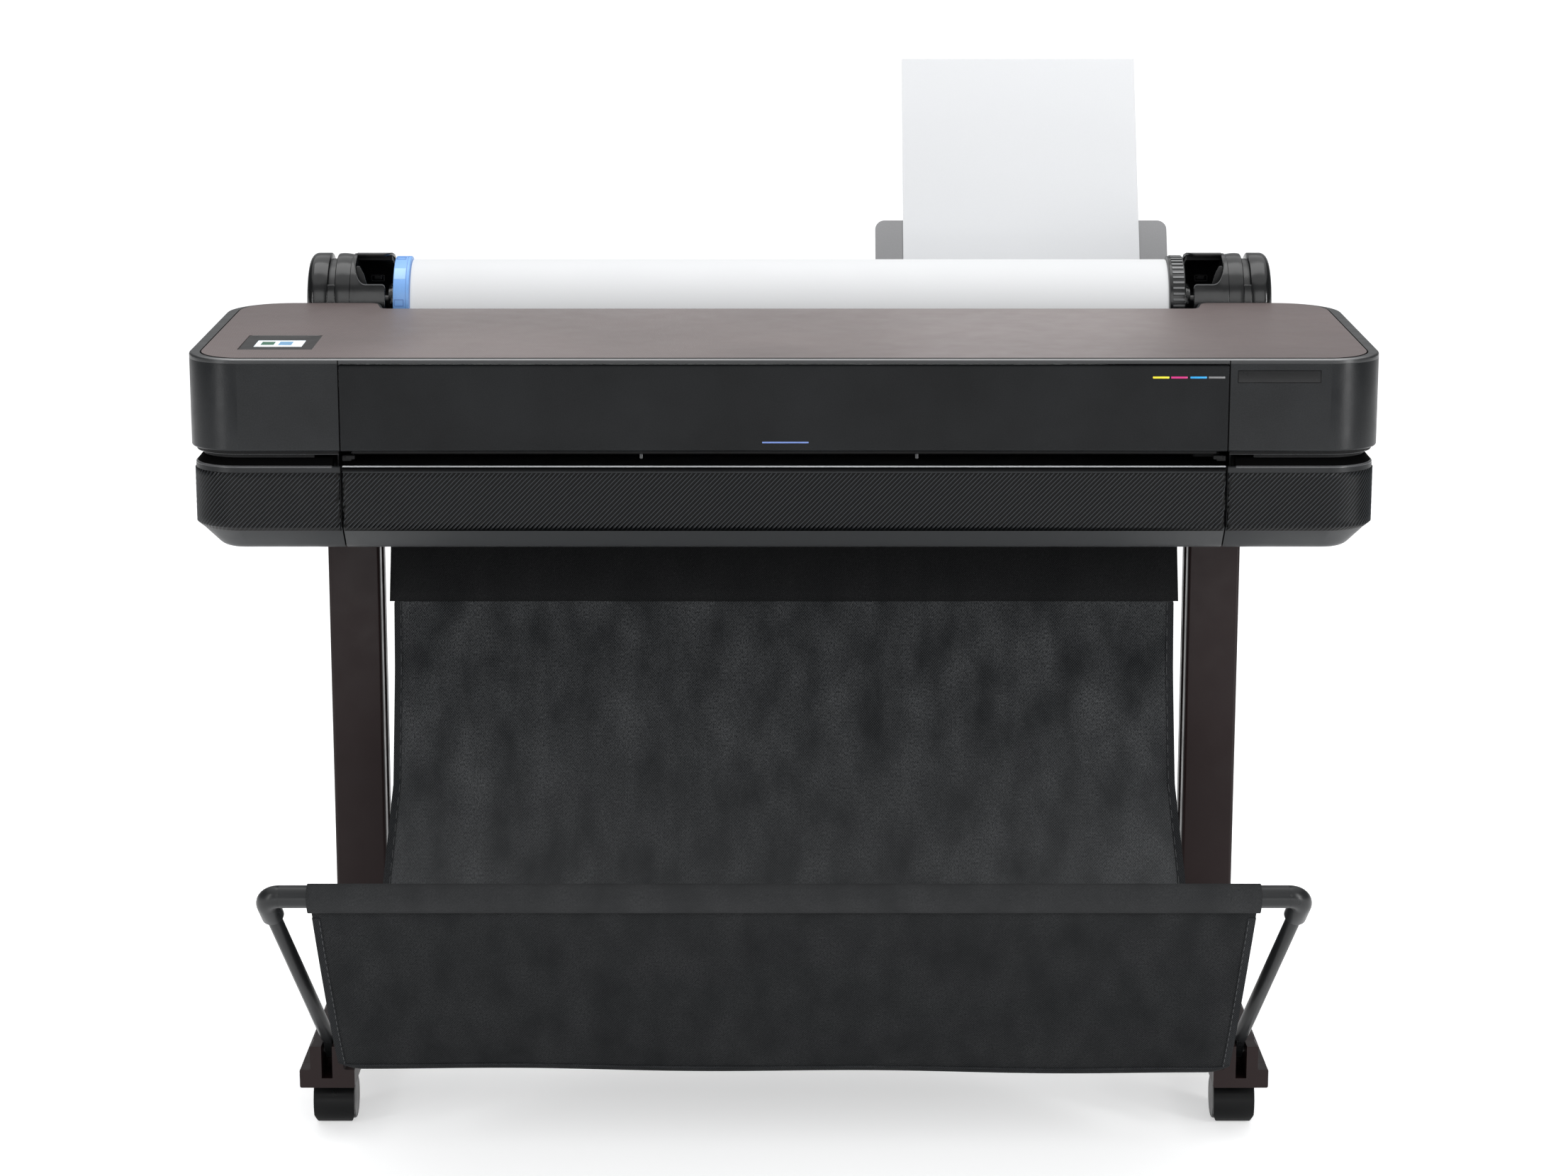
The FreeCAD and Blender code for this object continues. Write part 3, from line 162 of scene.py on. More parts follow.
area_light("softbox_top", (0, 0.4, 3.4), (0, 0, 0.8), 3.2, 1.6, 34)
area_light("softbox_front", (0, -4.6, 2.6), (0, 0, 0.7), 4.0, 2.2, 46)
area_light("strip_left", (-2.4, -2.0, 1.1), (-0.5, 0, 0.75), 0.4, 2.0, 20)
area_light("strip_right", (2.4, -2.0, 1.1), (0.5, 0, 0.75), 0.4, 2.0, 38)
area_light("strip_floor", (0, -2.3, 0.05), (0, 0, 0.75), 3.0, 0.4, 9)
sun_data = bpy.data.lights.new("sky_panel", "SUN")
sun_data.energy = 1.5
sun_data.angle = math.radians(100)
sun = bpy.data.objects.new("sky_panel", sun_data)
sun.rotation_euler = (math.radians(-8), 0, 0)
scene.collection.objects.link(sun)


# ---- materials
def start(name):
    """A new material: itself, its tree, its shader and its coordinates."""
    made = bpy.data.materials.new(name)
    made.use_nodes = True
    tree = made.node_tree
    shader = tree.nodes["Principled BSDF"]
    place = tree.nodes.new("ShaderNodeTexCoord")
    return made, tree, shader, place


def vary(tree, place, scale, low, high, detail=3.0, source="Object", stretch=None):
    """A noise mapped to the range low...high."""
    noise = tree.nodes.new("ShaderNodeTexNoise")
    noise.inputs["Scale"].default_value = scale
    noise.inputs["Detail"].default_value = detail
    out = place.outputs[source]
    if stretch:
        mapping = tree.nodes.new("ShaderNodeMapping")
        mapping.inputs["Scale"].default_value = stretch
        tree.links.new(out, mapping.inputs[0])
        out = mapping.outputs[0]
    tree.links.new(out, noise.inputs["Vector"])
    return ranged(tree, noise.outputs[0], 0.3, 0.7, low, high)


def tone(tree, factor, dark, light, blend="MIX"):
    """A colour between two colours."""
    mix = tree.nodes.new("ShaderNodeMix")
    mix.data_type = "RGBA"
    mix.blend_type = blend
    put(tree, mix.inputs[0], factor)
    for socket, colour in ((mix.inputs[6], dark), (mix.inputs[7], light)):
        put(tree, socket, (*colour, 1) if isinstance(colour, tuple) else colour)
    return mix.outputs[2]


def facing(tree, vector, way):
    """Dot product of a vector and a direction."""
    made = tree.nodes.new("ShaderNodeVectorMath")
    made.operation = "DOT_PRODUCT"
    made.inputs[1].default_value = way
    tree.links.new(vector, made.inputs[0])
    return made.outputs["Value"]


def relief(tree, height, shader, depth, strength):
    """A fine relief of the surface, in metres."""
    bump = tree.nodes.new("ShaderNodeBump")
    bump.inputs["Distance"].default_value = depth
    bump.inputs["Strength"].default_value = strength
    tree.links.new(height, bump.inputs["Height"])
    tree.links.new(bump.outputs[0], shader.inputs["Normal"])


def shaded(colour, share):
    """A share of a colour."""
    return tuple(min(1.0, c * share) for c in colour)


def moulding(name, colour, rough, spread=0.12, grain=900, depth=0.00003, metal=0.0, cloud=9, gleam=0.5):
    """A moulded, painted or rolled surface: cloudy tone, uneven gloss and a fine grain."""
    made, tree, shader, place = start(name)
    cloudy = reckon(tree, "ADD", vary(tree, place, cloud, 0, 0.6),
                    vary(tree, place, grain * 0.6, 0, 0.4, detail=2.0))
    give(shader, colour=tone(tree, cloudy, shaded(colour, 1 - spread), shaded(colour, 1 + spread)),
         rough=vary(tree, place, cloud * 5, rough - 0.05, rough + 0.05), metal=metal, gleam=gleam)
    relief(tree, vary(tree, place, grain, 0, 1, detail=1.0), shader, depth, 0.6)
    return made


def lines(tree, place, across, pitch, source="Object"):
    """A sine of the given pitch along a direction, from 0 to 1."""
    turns = facing(tree, place.outputs[source], [c * 2 * math.pi / pitch for c in across])
    return reckon(tree, "MULTIPLY_ADD", reckon(tree, "SINE", turns), 0.5, 0.5)


def lined(name, dark, light, rough, pitch, depth):
    """The lid's taupe moulding with its fine diagonal lines and painted shade at both ends."""
    made, tree, shader, place = start(name)
    stripe = lines(tree, place, (0.975, 0.22, 0), pitch)
    cloudy = vary(tree, place, 3, 0.25, 0.75)
    both = reckon(tree, "MULTIPLY_ADD", stripe, 0.35, cloudy)
    # painted shade: the ends over the side covers are darker, where less light falls on them
    aside = reckon(tree, "ABSOLUTE", part_of(tree, place.outputs["Object"], 0))
    painted_end_shade = ranged(tree, aside, 0.37, 0.52, kind="SMOOTHSTEP")
    give(shader, colour=tone(tree, painted_end_shade, tone(tree, both, dark, light), (0.66, 0.61, 0.61), "MULTIPLY"),
         rough=vary(tree, place, 30, rough - 0.04, rough + 0.04))
    relief(tree, stripe, shader, depth, 0.7)
    return made


def woven(name, dark, light, dust_and_light_colour, pitch, dust_and_painted_light=((0, 0.1), (1, 0.1)), speckle=0.9):
    """Limp woven cloth: a fine twill from the piece's own flat coordinates, fluffy wear and loose fibre.
    The dust_and_painted_light pairs give the share of the pale dust_and_light_colour at a length along the cloth,
    in metres; it is dust in some places and painted light and shade in others."""
    made, tree, shader, place = start(name)
    uv = "UV"
    warp = lines(tree, place, (0.71, 0.71, 0), pitch, uv)
    weft = lines(tree, place, (0.8, -0.6, 0), pitch, uv)
    weave = reckon(tree, "MULTIPLY", weft, warp)
    patch = vary(tree, place, 16, 0.0, 0.7, detail=9.0, source=uv, stretch=(1.5, 0.8, 1))
    fibre = vary(tree, place, 620, 0, 1, detail=3.0, source=uv, stretch=(1, 0.6, 1))
    speck = reckon(tree, "MULTIPLY", patch, fibre)
    ramp = tree.nodes.new("ShaderNodeValToRGB")
    while len(ramp.color_ramp.elements) < len(dust_and_painted_light):
        ramp.color_ramp.elements.new(0.5)
    for stop, (at, share) in zip(ramp.color_ramp.elements, dust_and_painted_light):
        stop.position = at
        stop.color = (share, share, share, 1)
    tree.links.new(part_of(tree, place.outputs[uv], 1), ramp.inputs[0])
    total = reckon(tree, "MULTIPLY_ADD", speck, speckle, ramp.outputs[0])
    give(shader, colour=tone(tree, total, tone(tree, weave, dark, light), dust_and_light_colour), rough=0.9, gleam=0.1)
    relief(tree, weave, shader, 0.00035, 0.8)
    return made


def lit(name, colour, strength):
    """A small mark that glows: a lit mark, or a printed one given painted light."""
    made, tree, shader, place = start(name)
    give(shader, colour=tone(tree, vary(tree, place, 80, 0, 1), shaded(colour, 0.85), colour), rough=0.4,
         glow=(*colour, 1), power=strength)
    return made


def painted_light_by_facing(name, toward, power, dark, light, rough, gleam):
    """A moulding whose colour is painted lighter where its surface faces one way: a painted highlight or painted
    light from below.
    """
    made, tree, shader, place = start(name)
    normal = tree.nodes.new("ShaderNodeNewGeometry").outputs["Normal"]
    painted_light_share = reckon(tree, "POWER", facing(tree, normal, toward), power, clamp=True)
    give(shader, colour=tone(tree, painted_light_share, dark, light),
         rough=vary(tree, place, 45, rough - 0.05, rough + 0.05), gleam=gleam)
    relief(tree, vary(tree, place, 1100, 0, 1, detail=1.0), shader, 0.00004, 0.6)
    return made


HOUSING = (0.0095, 0.0104, 0.0114)
housing = moulding("housing_black", HOUSING, 0.33, 0.5, grain=1100, depth=0.00006, gleam=0.2)
# ribbed covers: painted highlight along the rib crests, read from the crest attribute, and painted shade between
# them
ribbed, tree, shader, place = start("housing_ribbed")
crest_light = tree.nodes.new("ShaderNodeAttribute")
crest_light.attribute_name = "crest"
narrow = reckon(tree, "POWER", crest_light.outputs["Fac"], 1.8)
give(shader, colour=tone(tree, narrow, shaded(HOUSING, 0.05), shaded(HOUSING, 4.6)),
     rough=vary(tree, place, 40, 0.3, 0.42), gleam=0.15)
relief(tree, vary(tree, place, 900, 0, 1, detail=1.0), shader, 0.00002, 0.5)
# gloss black of the lips, the output guide and the name plate frame, darker than the housing: partly painted shade
# under the covers
under_black = moulding("under_black", (0.003, 0.003, 0.0033), 0.5, 0.2, gleam=0.12)
groove_black = moulding("groove_black", (0.0012, 0.0012, 0.0013), 0.75, 0.2, gleam=0.03)
edge_highlight = moulding("cover_edge", (0.065, 0.066, 0.069), 0.24, 0.2, gleam=0.5)
# under_edge: lighter grey for the painted highlight strips under the lips, and for the door tabs
under_edge = moulding("under_edge", (0.03, 0.031, 0.033), 0.3, 0.2, gleam=0.4)
# painted highlight: the rim is painted light where its front edge faces the front and up
rim_black = painted_light_by_facing("rim_black", (0, -0.7, 0.714), 12, (0.018, 0.019, 0.02), (0.27, 0.27, 0.273), 0.34, 0.4)
door_black = moulding("door_black", shaded(HOUSING, 0.7), 0.38, 0.45, grain=1100, depth=0.00006, gleam=0.13)
# painted light from below: the down-facing chamfer of the lower covers is painted lighter
lower_black = painted_light_by_facing("lower_black", (0, -0.5, -0.866), 3, HOUSING, (0.043, 0.0447, 0.0464), 0.4, 0.2)
taupe = lined("lid_taupe", (0.1, 0.082, 0.08), (0.22, 0.183, 0.178), 0.44, 0.0019, 0.0001)
# black of the inner parts, darker than the housing: their own black and painted shade in the gaps between the
# covers
inner = moulding("inner_black", (0.004, 0.004, 0.0044), 0.55, 0.2, gleam=0.15)
holder = moulding("holder_black", (0.0055, 0.0059, 0.0063), 0.2, 0.2, depth=0.00002, gleam=0.5)
steel = moulding("sheet_steel", (0.55, 0.56, 0.57), 0.34, 0.1, grain=300, depth=0.00001, metal=1.0)
column = moulding("stand_brown", (0.0125, 0.0062, 0.0062), 0.38, 0.12, depth=0.00002, gleam=0.18)
tube = moulding("basket_tube", (0.012, 0.0128, 0.0136), 0.32, 0.12, depth=0.00002, gleam=0.3)
sheet_paper = moulding("sheet_white", (0.665, 0.674, 0.688), 0.7, 0.012, grain=700, depth=0.00001, cloud=4,
                       gleam=0.2)
paper = moulding("paper_white", (0.42, 0.424, 0.43), 0.7, 0.012, grain=700, depth=0.00001, cloud=4)
# painted light: the roll's paper has a lower base colour and glows faintly, which flattens its shading
give(paper.node_tree.nodes["Principled BSDF"], glow=(0.93, 0.94, 0.955, 1), power=0.37)
card = moulding("cardboard", (0.42, 0.3, 0.19), 0.8, 0.15, grain=400, depth=0.00005)
blue = moulding("stop_blue", (0.2, 0.42, 0.83), 0.35, 0.06, depth=0.00001)
tray = moulding("tray_grey", (0.25, 0.25, 0.255), 0.45, 0.06, depth=0.00002)
rubber = moulding("roller_rubber", (0.05, 0.05, 0.05), 0.8, 0.2, depth=0.00006)
wheel = moulding("wheel_black", (0.003, 0.0032, 0.0034), 0.32, 0.15, depth=0.00003, gleam=0.15)
board = moulding("electronics", (0.04, 0.17, 0.09), 0.45, 0.25, grain=200, depth=0.0001)
ink = moulding("ink_plastic", (0.08, 0.08, 0.09), 0.25, 0.15)
metal = moulding("motor_metal", (0.45, 0.45, 0.46), 0.36, 0.12, grain=300, depth=0.00002, metal=1.0)
BASKET_WEAVE, HEM_WEAVE = 0.0021, 0.0019
# back panel: the pale colour's share grows towards its lower part and falls to none near the floor
cloth_look = woven("basket_cloth", (0.003, 0.0034, 0.0038), (0.031, 0.0333, 0.036), (0.12, 0.123, 0.127),
                   BASKET_WEAVE,
                   ((0.1, 0.0), (0.22, 0.015), (0.3, 0.06), (0.5, 0.25), (0.57, 0.0)), 0.62)
# painted shade and highlight: the flap is painted darker towards the bottom and palest at the top and round the
# bar
flap_look = woven("basket_flap_cloth", (0.004, 0.0044, 0.0048), (0.018, 0.0193, 0.0207), (0.03, 0.0308, 0.032),
                  BASKET_WEAVE,
                  ((0.6, 0.0), (0.9, 0.07), (0.97, 0.14), (1.0, 0.5)))
band_look = woven("hem_band_cloth", (0.003, 0.0032, 0.0036), (0.009, 0.0093, 0.0098), (0.012, 0.012, 0.0125),
                  HEM_WEAVE)
panel_look = moulding("panel_black", (0.02, 0.0195, 0.0195), 0.42, 0.12, depth=0.00001, gleam=0.25)
screen_look = lit("screen", (0.75, 0.82, 0.86), 0.35)

LOOKS = {}
for look, names in (
        (inner, "base_pan inner_housings platen power_inlet service_station carriage paper_cutter"),
        (steel, "basket_pivot_pins carriage_rail cloth_rod side_plates"),
        (column, "column_left column_right cross_brace foot_end_caps foot_left foot_right"),
        (panel_look, "control_panel"),
        (rubber, "drive_belt feed_roller pinch_rollers"),
        (metal, "drive_motors"),
        (board, "electronics"),
        (tray, "feeder_tray width_guide_left width_guide_right"),
        (ink, "ink_cartridges print_heads"),
        (taupe, "lid_panel"),
        (lower_black, "lower_cover_front lower_cover_left lower_cover_right"),
        (under_black, "output_guide"),
        (housing, "rear_cover upper_cover_left upper_cover_right"),
        (holder, "roll_holder_left roll_holder_right spindle drive_flange"),
        (rim_black, "top_rim"),
        (screen_look, "touch_screen"),
        (door_black, "front_door"),
        (blue, "roll_stop"),
        (paper, "media_roll"),
        (card, "media_core"),
        (sheet_paper, "paper_sheet"),
        (tube, "basket_bar basket_elbows basket_arms")):
    LOOKS.update((name, look) for name in names.split())
NO_BEVEL = {"drive_belt", "paper_sheet", "media_core", "pinch_rollers"}
BEVEL_WIDTH, WELD_GAP = 1.2, 0.00002


def edged(made, width, angle=35):
    """Rounded edges for a piece."""
    bevel = made.modifiers.new("edges", "BEVEL")
    bevel.width = width * MM
    bevel.segments = 3
    bevel.limit_method = "ANGLE"
    bevel.angle_limit = math.radians(angle)


def dress(name, look):
    """Material and rounded edges for a CAD node whose shape is kept."""
    kept = nodes[name]
    for slot in kept.material_slots:
        slot.link = "OBJECT"
        slot.material = look
    weld = kept.modifiers.new("weld", "WELD")
    weld.merge_threshold = WELD_GAP
    if name not in NO_BEVEL:
        edged(kept, BEVEL_WIDTH, 40)


for name in nodes:
    if name in LOOKS:
        dress(name, LOOKS[name])
    elif name.startswith("caster"):
        dress(name, wheel)


# ---- mesh helpers, in millimetres
SAME_POINT = 0.000002


def make(name, points, faces, look, body, slot=None, sharp=35, uv=None, shade=None):
    """A mesh piece that rides on a body; uv gives flat coordinates, shade the share of light on each point."""
    mesh = bpy.data.meshes.new(name)
    mesh.from_pydata([[c * MM for c in p] for p in points], [], faces)
    if uv:
        layer = mesh.uv_layers.new(name="flat")
        for loop in mesh.loops:
            layer.data[loop.index].uv = [c * MM for c in uv[loop.vertex_index]]
    if shade:
        layer = mesh.attributes.new("crest", "FLOAT", "POINT")
        layer.data.foreach_set("value", shade)
    shape = bmesh.new()
    shape.from_mesh(mesh)
    bmesh.ops.remove_doubles(shape, verts=shape.verts, dist=SAME_POINT)
    bmesh.ops.dissolve_degenerate(shape, edges=shape.edges, dist=SAME_POINT)
    bmesh.ops.recalc_face_normals(shape, faces=shape.faces)
    shape.to_mesh(mesh)
    shape.free()
    mesh.shade_smooth()
    mesh.set_sharp_from_angle(angle=math.radians(sharp))
    made = bpy.data.objects.new(name, mesh)
    scene.collection.objects.link(made)
    mesh.materials.append(look)
    if body:
        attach(made, body)
    return made


def skin(rows, ring=False, loop=False):
    """Points and faces of a grid of rows: ring closes each row, loop joins the last row to the first."""
    points = [p for row in rows for p in row]
    wide = len(rows[0])
    faces = []
    last = len(rows) if loop else len(rows) - 1
    for i in range(last):
        a, b = i * wide, (i + 1) % len(rows) * wide
        for j in range(wide if ring else wide - 1):
            k = (j + 1) % wide
            faces.append((a + j, a + k, b + k, b + j))
    if ring and not loop:
        faces.append(tuple(reversed(range(wide))))
        faces.append(tuple(range((len(rows) - 1) * wide, len(rows) * wide)))
    return points, faces


def join(parts):
    """Several point and face lists as one."""
    points, faces = [], []
    for some, more in parts:
        base = len(points)
        points += some
        faces += [tuple(base + i for i in face) for face in more]
    return points, faces


def rounded(corners, radius, steps=4):
    """A closed outline with every corner rounded."""
    out = []
    count = len(corners)
    for i, (x, y) in enumerate(corners):
        ax, ay = corners[i - 1]
        bx, by = corners[(i + 1) % count]
        la, lb = math.hypot(ax - x, ay - y), math.hypot(bx - x, by - y)
        r = min(radius[i] if isinstance(radius, (list, tuple)) else radius, la * 0.48, lb * 0.48)
        if r < 0.01:
            out.append((x, y))
            continue
        sx, sy = x + (ax - x) / la * r, y + (ay - y) / la * r
        ex, ey = x + (bx - x) / lb * r, y + (by - y) / lb * r
        for s in range(steps + 1):
            t = s / steps
            out.append(((1 - t) ** 2 * sx + 2 * t * (1 - t) * x + t * t * ex,
                        (1 - t) ** 2 * sy + 2 * t * (1 - t) * y + t * t * ey))
    return out


def bar(outline, along, low, high, chamfer=0.4):
    """A prism of an outline along an axis, with small chamfers at both ends."""
    cx = sum(p[0] for p in outline) / len(outline)
    cy = sum(p[1] for p in outline) / len(outline)
    rows = []
    for level, inset in ((low, chamfer), (low + chamfer, 0), (high - chamfer, 0), (high, chamfer)):
        row = []
        for x, y in outline:
            d = math.hypot(x - cx, y - cy) or 1
            u, v = x - (x - cx) / d * inset, y - (y - cy) / d * inset
            row.append({"x": (level, u, v), "y": (u, level, v), "z": (u, v, level)}[along])
        rows.append(row)
    return skin(rows, ring=True)


def block(x0, x1, y0, y1, z0, z1, radius, along="x"):
    """A small block with rounded edges, along x or z."""
    a0, a1, b0, b1, low, high = (y0, y1, z0, z1, x0, x1) if along == "x" else (x0, x1, y0, y1, z0, z1)
    outline = rounded([(a0, b0), (a1, b0), (a1, b1), (a0, b1)], radius)
    return bar(outline, along, low, high, min(radius, 0.4))


# ---- housing
_, FRONT, UNDER = extent("front_door")[0]
SIDE, BACK, _ = extent("upper_cover_right")[1]
SEAM = extent("upper_cover_right")[0][0] - 0.6
LOW_FACE = extent("lower_cover_front")[0][1]
LOW_SIDE = extent("lower_cover_right")[1][0]
CORNER = 60
LOW_CORNER = CORNER - 4
MIDDLE = (-SEAM + 1.2, SEAM - 1.2)
SIDES = ((1, "right"), (-1, "left"))


def plan(side, face, end, corner, first, back):
    """Plan path from a seam round a corner to the back, as samples of a point and its normal."""
    out = []
    run = end - corner
    steps = max(2, int((run - first) / 12))
    for i in range(steps + 1):
        x = first + (run - first) * i / steps
        out.append((side * x, face, 0, -1))
    turn = 14
    for i in range(1, turn + 1):
        a = math.pi / 2 * i / turn
        out.append((side * (run + corner * math.sin(a)), face + corner - corner * math.cos(a),
                    side * math.sin(a), -math.cos(a)))
    y0 = face + corner
    for i in range(1, 13):
        y = y0 + (back - y0) * i / 12
        out.append((side * end, y, side, 0))
    return out


def along_plan(side, face, end, corner, s):
    """Point and normal of the plan path at length s from the middle."""
    run = end - corner
    if s <= run:
        return side * s, face, 0, -1
    a = (s - run) / corner
    if a <= math.pi / 2:
        return (side * (run + corner * math.sin(a)), face + corner - corner * math.cos(a),
                side * math.sin(a), -math.cos(a))
    return side * end, face + corner + (s - run - corner * math.pi / 2), side, 0


def sweep(path, profile):
    """A closed profile of (offset, z) carried along a plan path."""
    rows = [[(x + nx * o, y + ny * o, z) for o, z in profile] for x, y, nx, ny in path]
    return skin(rows, ring=True)


RIB_PITCH, RIB_SLOPE = 5.17, 0.98
RIB_HIGH, CHAMFER_TOP, RIB_LOW = 741.0, 680.0, 674.0
VALLEY, SUNK = 0.12, -0.25


def rib_skin(name, side, s_low, s_high):
    """Diagonal ribs moulded on a lower cover (side 0 is the middle one), rising to the right, fading out below."""
    top = RIB_HIGH - 0.5
    levels = [RIB_HIGH, top] + [top - (top - CHAMFER_TOP) * i / 9 for i in range(1, 10)]
    levels += [CHAMFER_TOP - (CHAMFER_TOP - RIB_LOW) * i / 5 for i in range(1, 6)]
    crest = (0.1, 0.25, 1.2, 0.35)
    step = RIB_PITCH / len(crest)
    reach = (RIB_HIGH - RIB_LOW) * RIB_SLOPE
    wide = int((s_high - s_low + reach) / step) + 3

    def length(k, z):
        """Length from the middle to point k: to the right is -s on the left-hand side, and +s elsewhere."""
        if side < 0:
            return s_low + k * step - reach + (RIB_HIGH - z) * RIB_SLOPE
        return s_low + k * step + (z - RIB_HIGH) * RIB_SLOPE

    def point(k, z, out):
        """Point k at a height and a distance outward, held between the ends of the cover."""
        s = min(max(length(k, z), s_low), s_high)
        out += min(0, z - CHAMFER_TOP)
        if not side:
            return s, LOW_FACE - out, z
        x, y, nx, ny = along_plan(side, LOW_FACE, LOW_SIDE, LOW_CORNER, s)
        return x + nx * out, y + ny * out, z

    rows, bright = [], []
    for z in levels:
        fade = 0.0 if z == RIB_HIGH else min(1.0, (z - RIB_LOW) / (CHAMFER_TOP - RIB_LOW))
        row = []
        for k in range(wide):
            inside = s_low < length(k, z) < s_high
            lift = VALLEY + (crest[k % 4] - VALLEY) * fade if inside else 0.0
            row.append(point(k, z, SUNK if z in (RIB_HIGH, RIB_LOW) else lift))
            # painted highlight: the crest column of each rib is marked to be painted lighter
            bright.append(fade if inside and crest[k % 4] == max(crest) else 0.0)
        rows.append(row)
    # rows run over the outside, then the inside, and close on themselves
    rows += [[point(k, z, SUNK - 1.0) for k in range(wide)] for z in (RIB_LOW, RIB_HIGH)]
    points, faces = skin(rows, loop=True)
    faces.append(tuple(i * wide for i in range(len(rows))))
    faces.append(tuple(i * wide + wide - 1 for i in reversed(range(len(rows)))))
    make(name, points, faces, ribbed, "root", "housing_black", sharp=180,
         shade=bright + [0.0] * (len(points) - len(bright)))


ARC = LOW_SIDE - LOW_CORNER + LOW_CORNER * math.pi / 2 + (BACK - LOW_FACE - LOW_CORNER)
rib_skin("ribs_front", 0, *MIDDLE)
rib_skin("ribs_right", 1, SEAM + 1.4, ARC - 1.0)
rib_skin("ribs_left", -1, SEAM + 1.4, ARC - 1.0)

# glossy lips under the upper covers and the door, which end before the rear corners
lip = rounded([(-5.2, UNDER + 2), (-5.6, UNDER - 3.4), (-9.5, UNDER - 4.2), (-11, UNDER + 2)],
              [0.2, 1.0, 0.5, 0.2])
lip_edge = rounded([(-5.5, UNDER - 3.5), (-5.9, UNDER - 4.2), (-7, UNDER - 4.5), (-7, UNDER - 3.8)], 0.2)
for side, name in SIDES:
    path = plan(side, FRONT, SIDE, CORNER, SEAM + 2.5, BACK - 62)
    make(f"under_lip_{name}", *sweep(path, lip), under_black, "root", "housing_gloss")
    # under_edge: a lighter strip along the lower edge of each lip, a painted highlight
    make(f"under_edge_{name}", *sweep(path, lip_edge), under_edge, "root", "housing_gloss")
make("door_lip", *bar([(FRONT - o, z) for o, z in lip], "x", -SEAM + 12, SEAM - 12), under_black, "door",
     "housing_gloss")

# light front edge of the output guide, a painted highlight, and the dark line under it
GUIDE_Z = 747.0
guide_outline = rounded([(LOW_FACE - 0.25, GUIDE_Z), (LOW_FACE + 2.5, GUIDE_Z), (LOW_FACE + 2.5, GUIDE_Z + 1.5),
                         (LOW_FACE + 0.6, GUIDE_Z + 1.4)], 0.4)
guide_highlight_grey = moulding("guide_edge", (0.35, 0.36, 0.37), 0.25, 0.2)
make("guide_edge", *bar(guide_outline, "x", *MIDDLE), guide_highlight_grey, "root", "housing_gloss")
guide_line = block(*MIDDLE, LOW_FACE - 0.5, LOW_FACE + 1, GUIDE_Z - 2.6, GUIDE_Z - 0.1, 0.2)
make("guide_line", *guide_line, groove_black, "root", "inner_black")

# shoulders on top of the lower side covers, painted near black as shade under the upper covers, each with a light
# strip along its front edge as a painted highlight
shoulder = rounded([(-15, RIB_HIGH), (-1.6, RIB_HIGH), (-1.4, 748.4), (-8.2, 756.3), (-12.6, 757.4),
                    (-15, 757.4)], [0.1, 0.2, 1.6, 1.8, 0.4, 0.1])
shoulder_edge = rounded([(-2, 746.2), (0.2, 746.2), (0.0, 747.3), (-1.4, 748.5), (-2.4, 748.5)],
                        [0.1, 0.3, 0.8, 0.5, 0.1])
for side, name in SIDES:
    path = plan(side, LOW_FACE, LOW_SIDE, LOW_CORNER, SEAM + 10, BACK - 4)
    make(f"shoulder_{name}", *sweep(path, shoulder), groove_black, "root", "housing_black")
    make(f"shoulder_edge_{name}", *sweep(path, shoulder_edge), edge_highlight, "root", "housing_black")

# colour marks, light bar and name plate; the printed colour marks glow faintly, painted light
for x0, x1, name, colour in ((403, 421, "yellow", (0.72, 0.62, 0.02)), (423, 441, "magenta", (0.5, 0.01, 0.16)),
                             (444, 462, "cyan", (0.01, 0.28, 0.6)), (464, 482, "grey", (0.16, 0.16, 0.165))):
    make(f"ink_mark_{name}", *block(x0, x1, FRONT - 0.25, FRONT + 0.8, 846, 848.2, 0.3),
         lit(f"mark_{name}", colour, 0.15), "door")
make("light_bar", *block(-24, 27, FRONT - 0.2, FRONT + 0.8, 774.3, 776.1, 0.3),
     lit("light_bar", (0.1, 0.16, 0.38), 0.4), "door")
PLATE_X0, PLATE_X1, PLATE_Z0, PLATE_Z1, RIM = 496, 587, 841, 855, 0.8
plate_bars = [block(x0, x1, FRONT - 0.35, FRONT + 0.6, z0, z1, 0.15) for x0, x1, z0, z1 in (
    (PLATE_X0, PLATE_X1, PLATE_Z1 - RIM, PLATE_Z1), (PLATE_X0, PLATE_X1, PLATE_Z0, PLATE_Z0 + RIM),
    (PLATE_X0, PLATE_X0 + RIM, PLATE_Z0, PLATE_Z1), (PLATE_X1 - RIM, PLATE_X1, PLATE_Z0, PLATE_Z1))]
make("name_plate_frame", *join(plate_bars), under_black, "root", "housing_gloss")
plate = block(PLATE_X0 + 0.6, PLATE_X1 - 0.6, FRONT - 0.22, FRONT + 0.6, PLATE_Z0 + 0.6, PLATE_Z1 - 0.6, 0.15)
plate_look = moulding("name_plate", (0.0085, 0.0088, 0.0092), 0.3, 0.2, depth=0.00001, gleam=0.2)
make("name_plate", *plate, plate_look, "root", "housing_gloss")

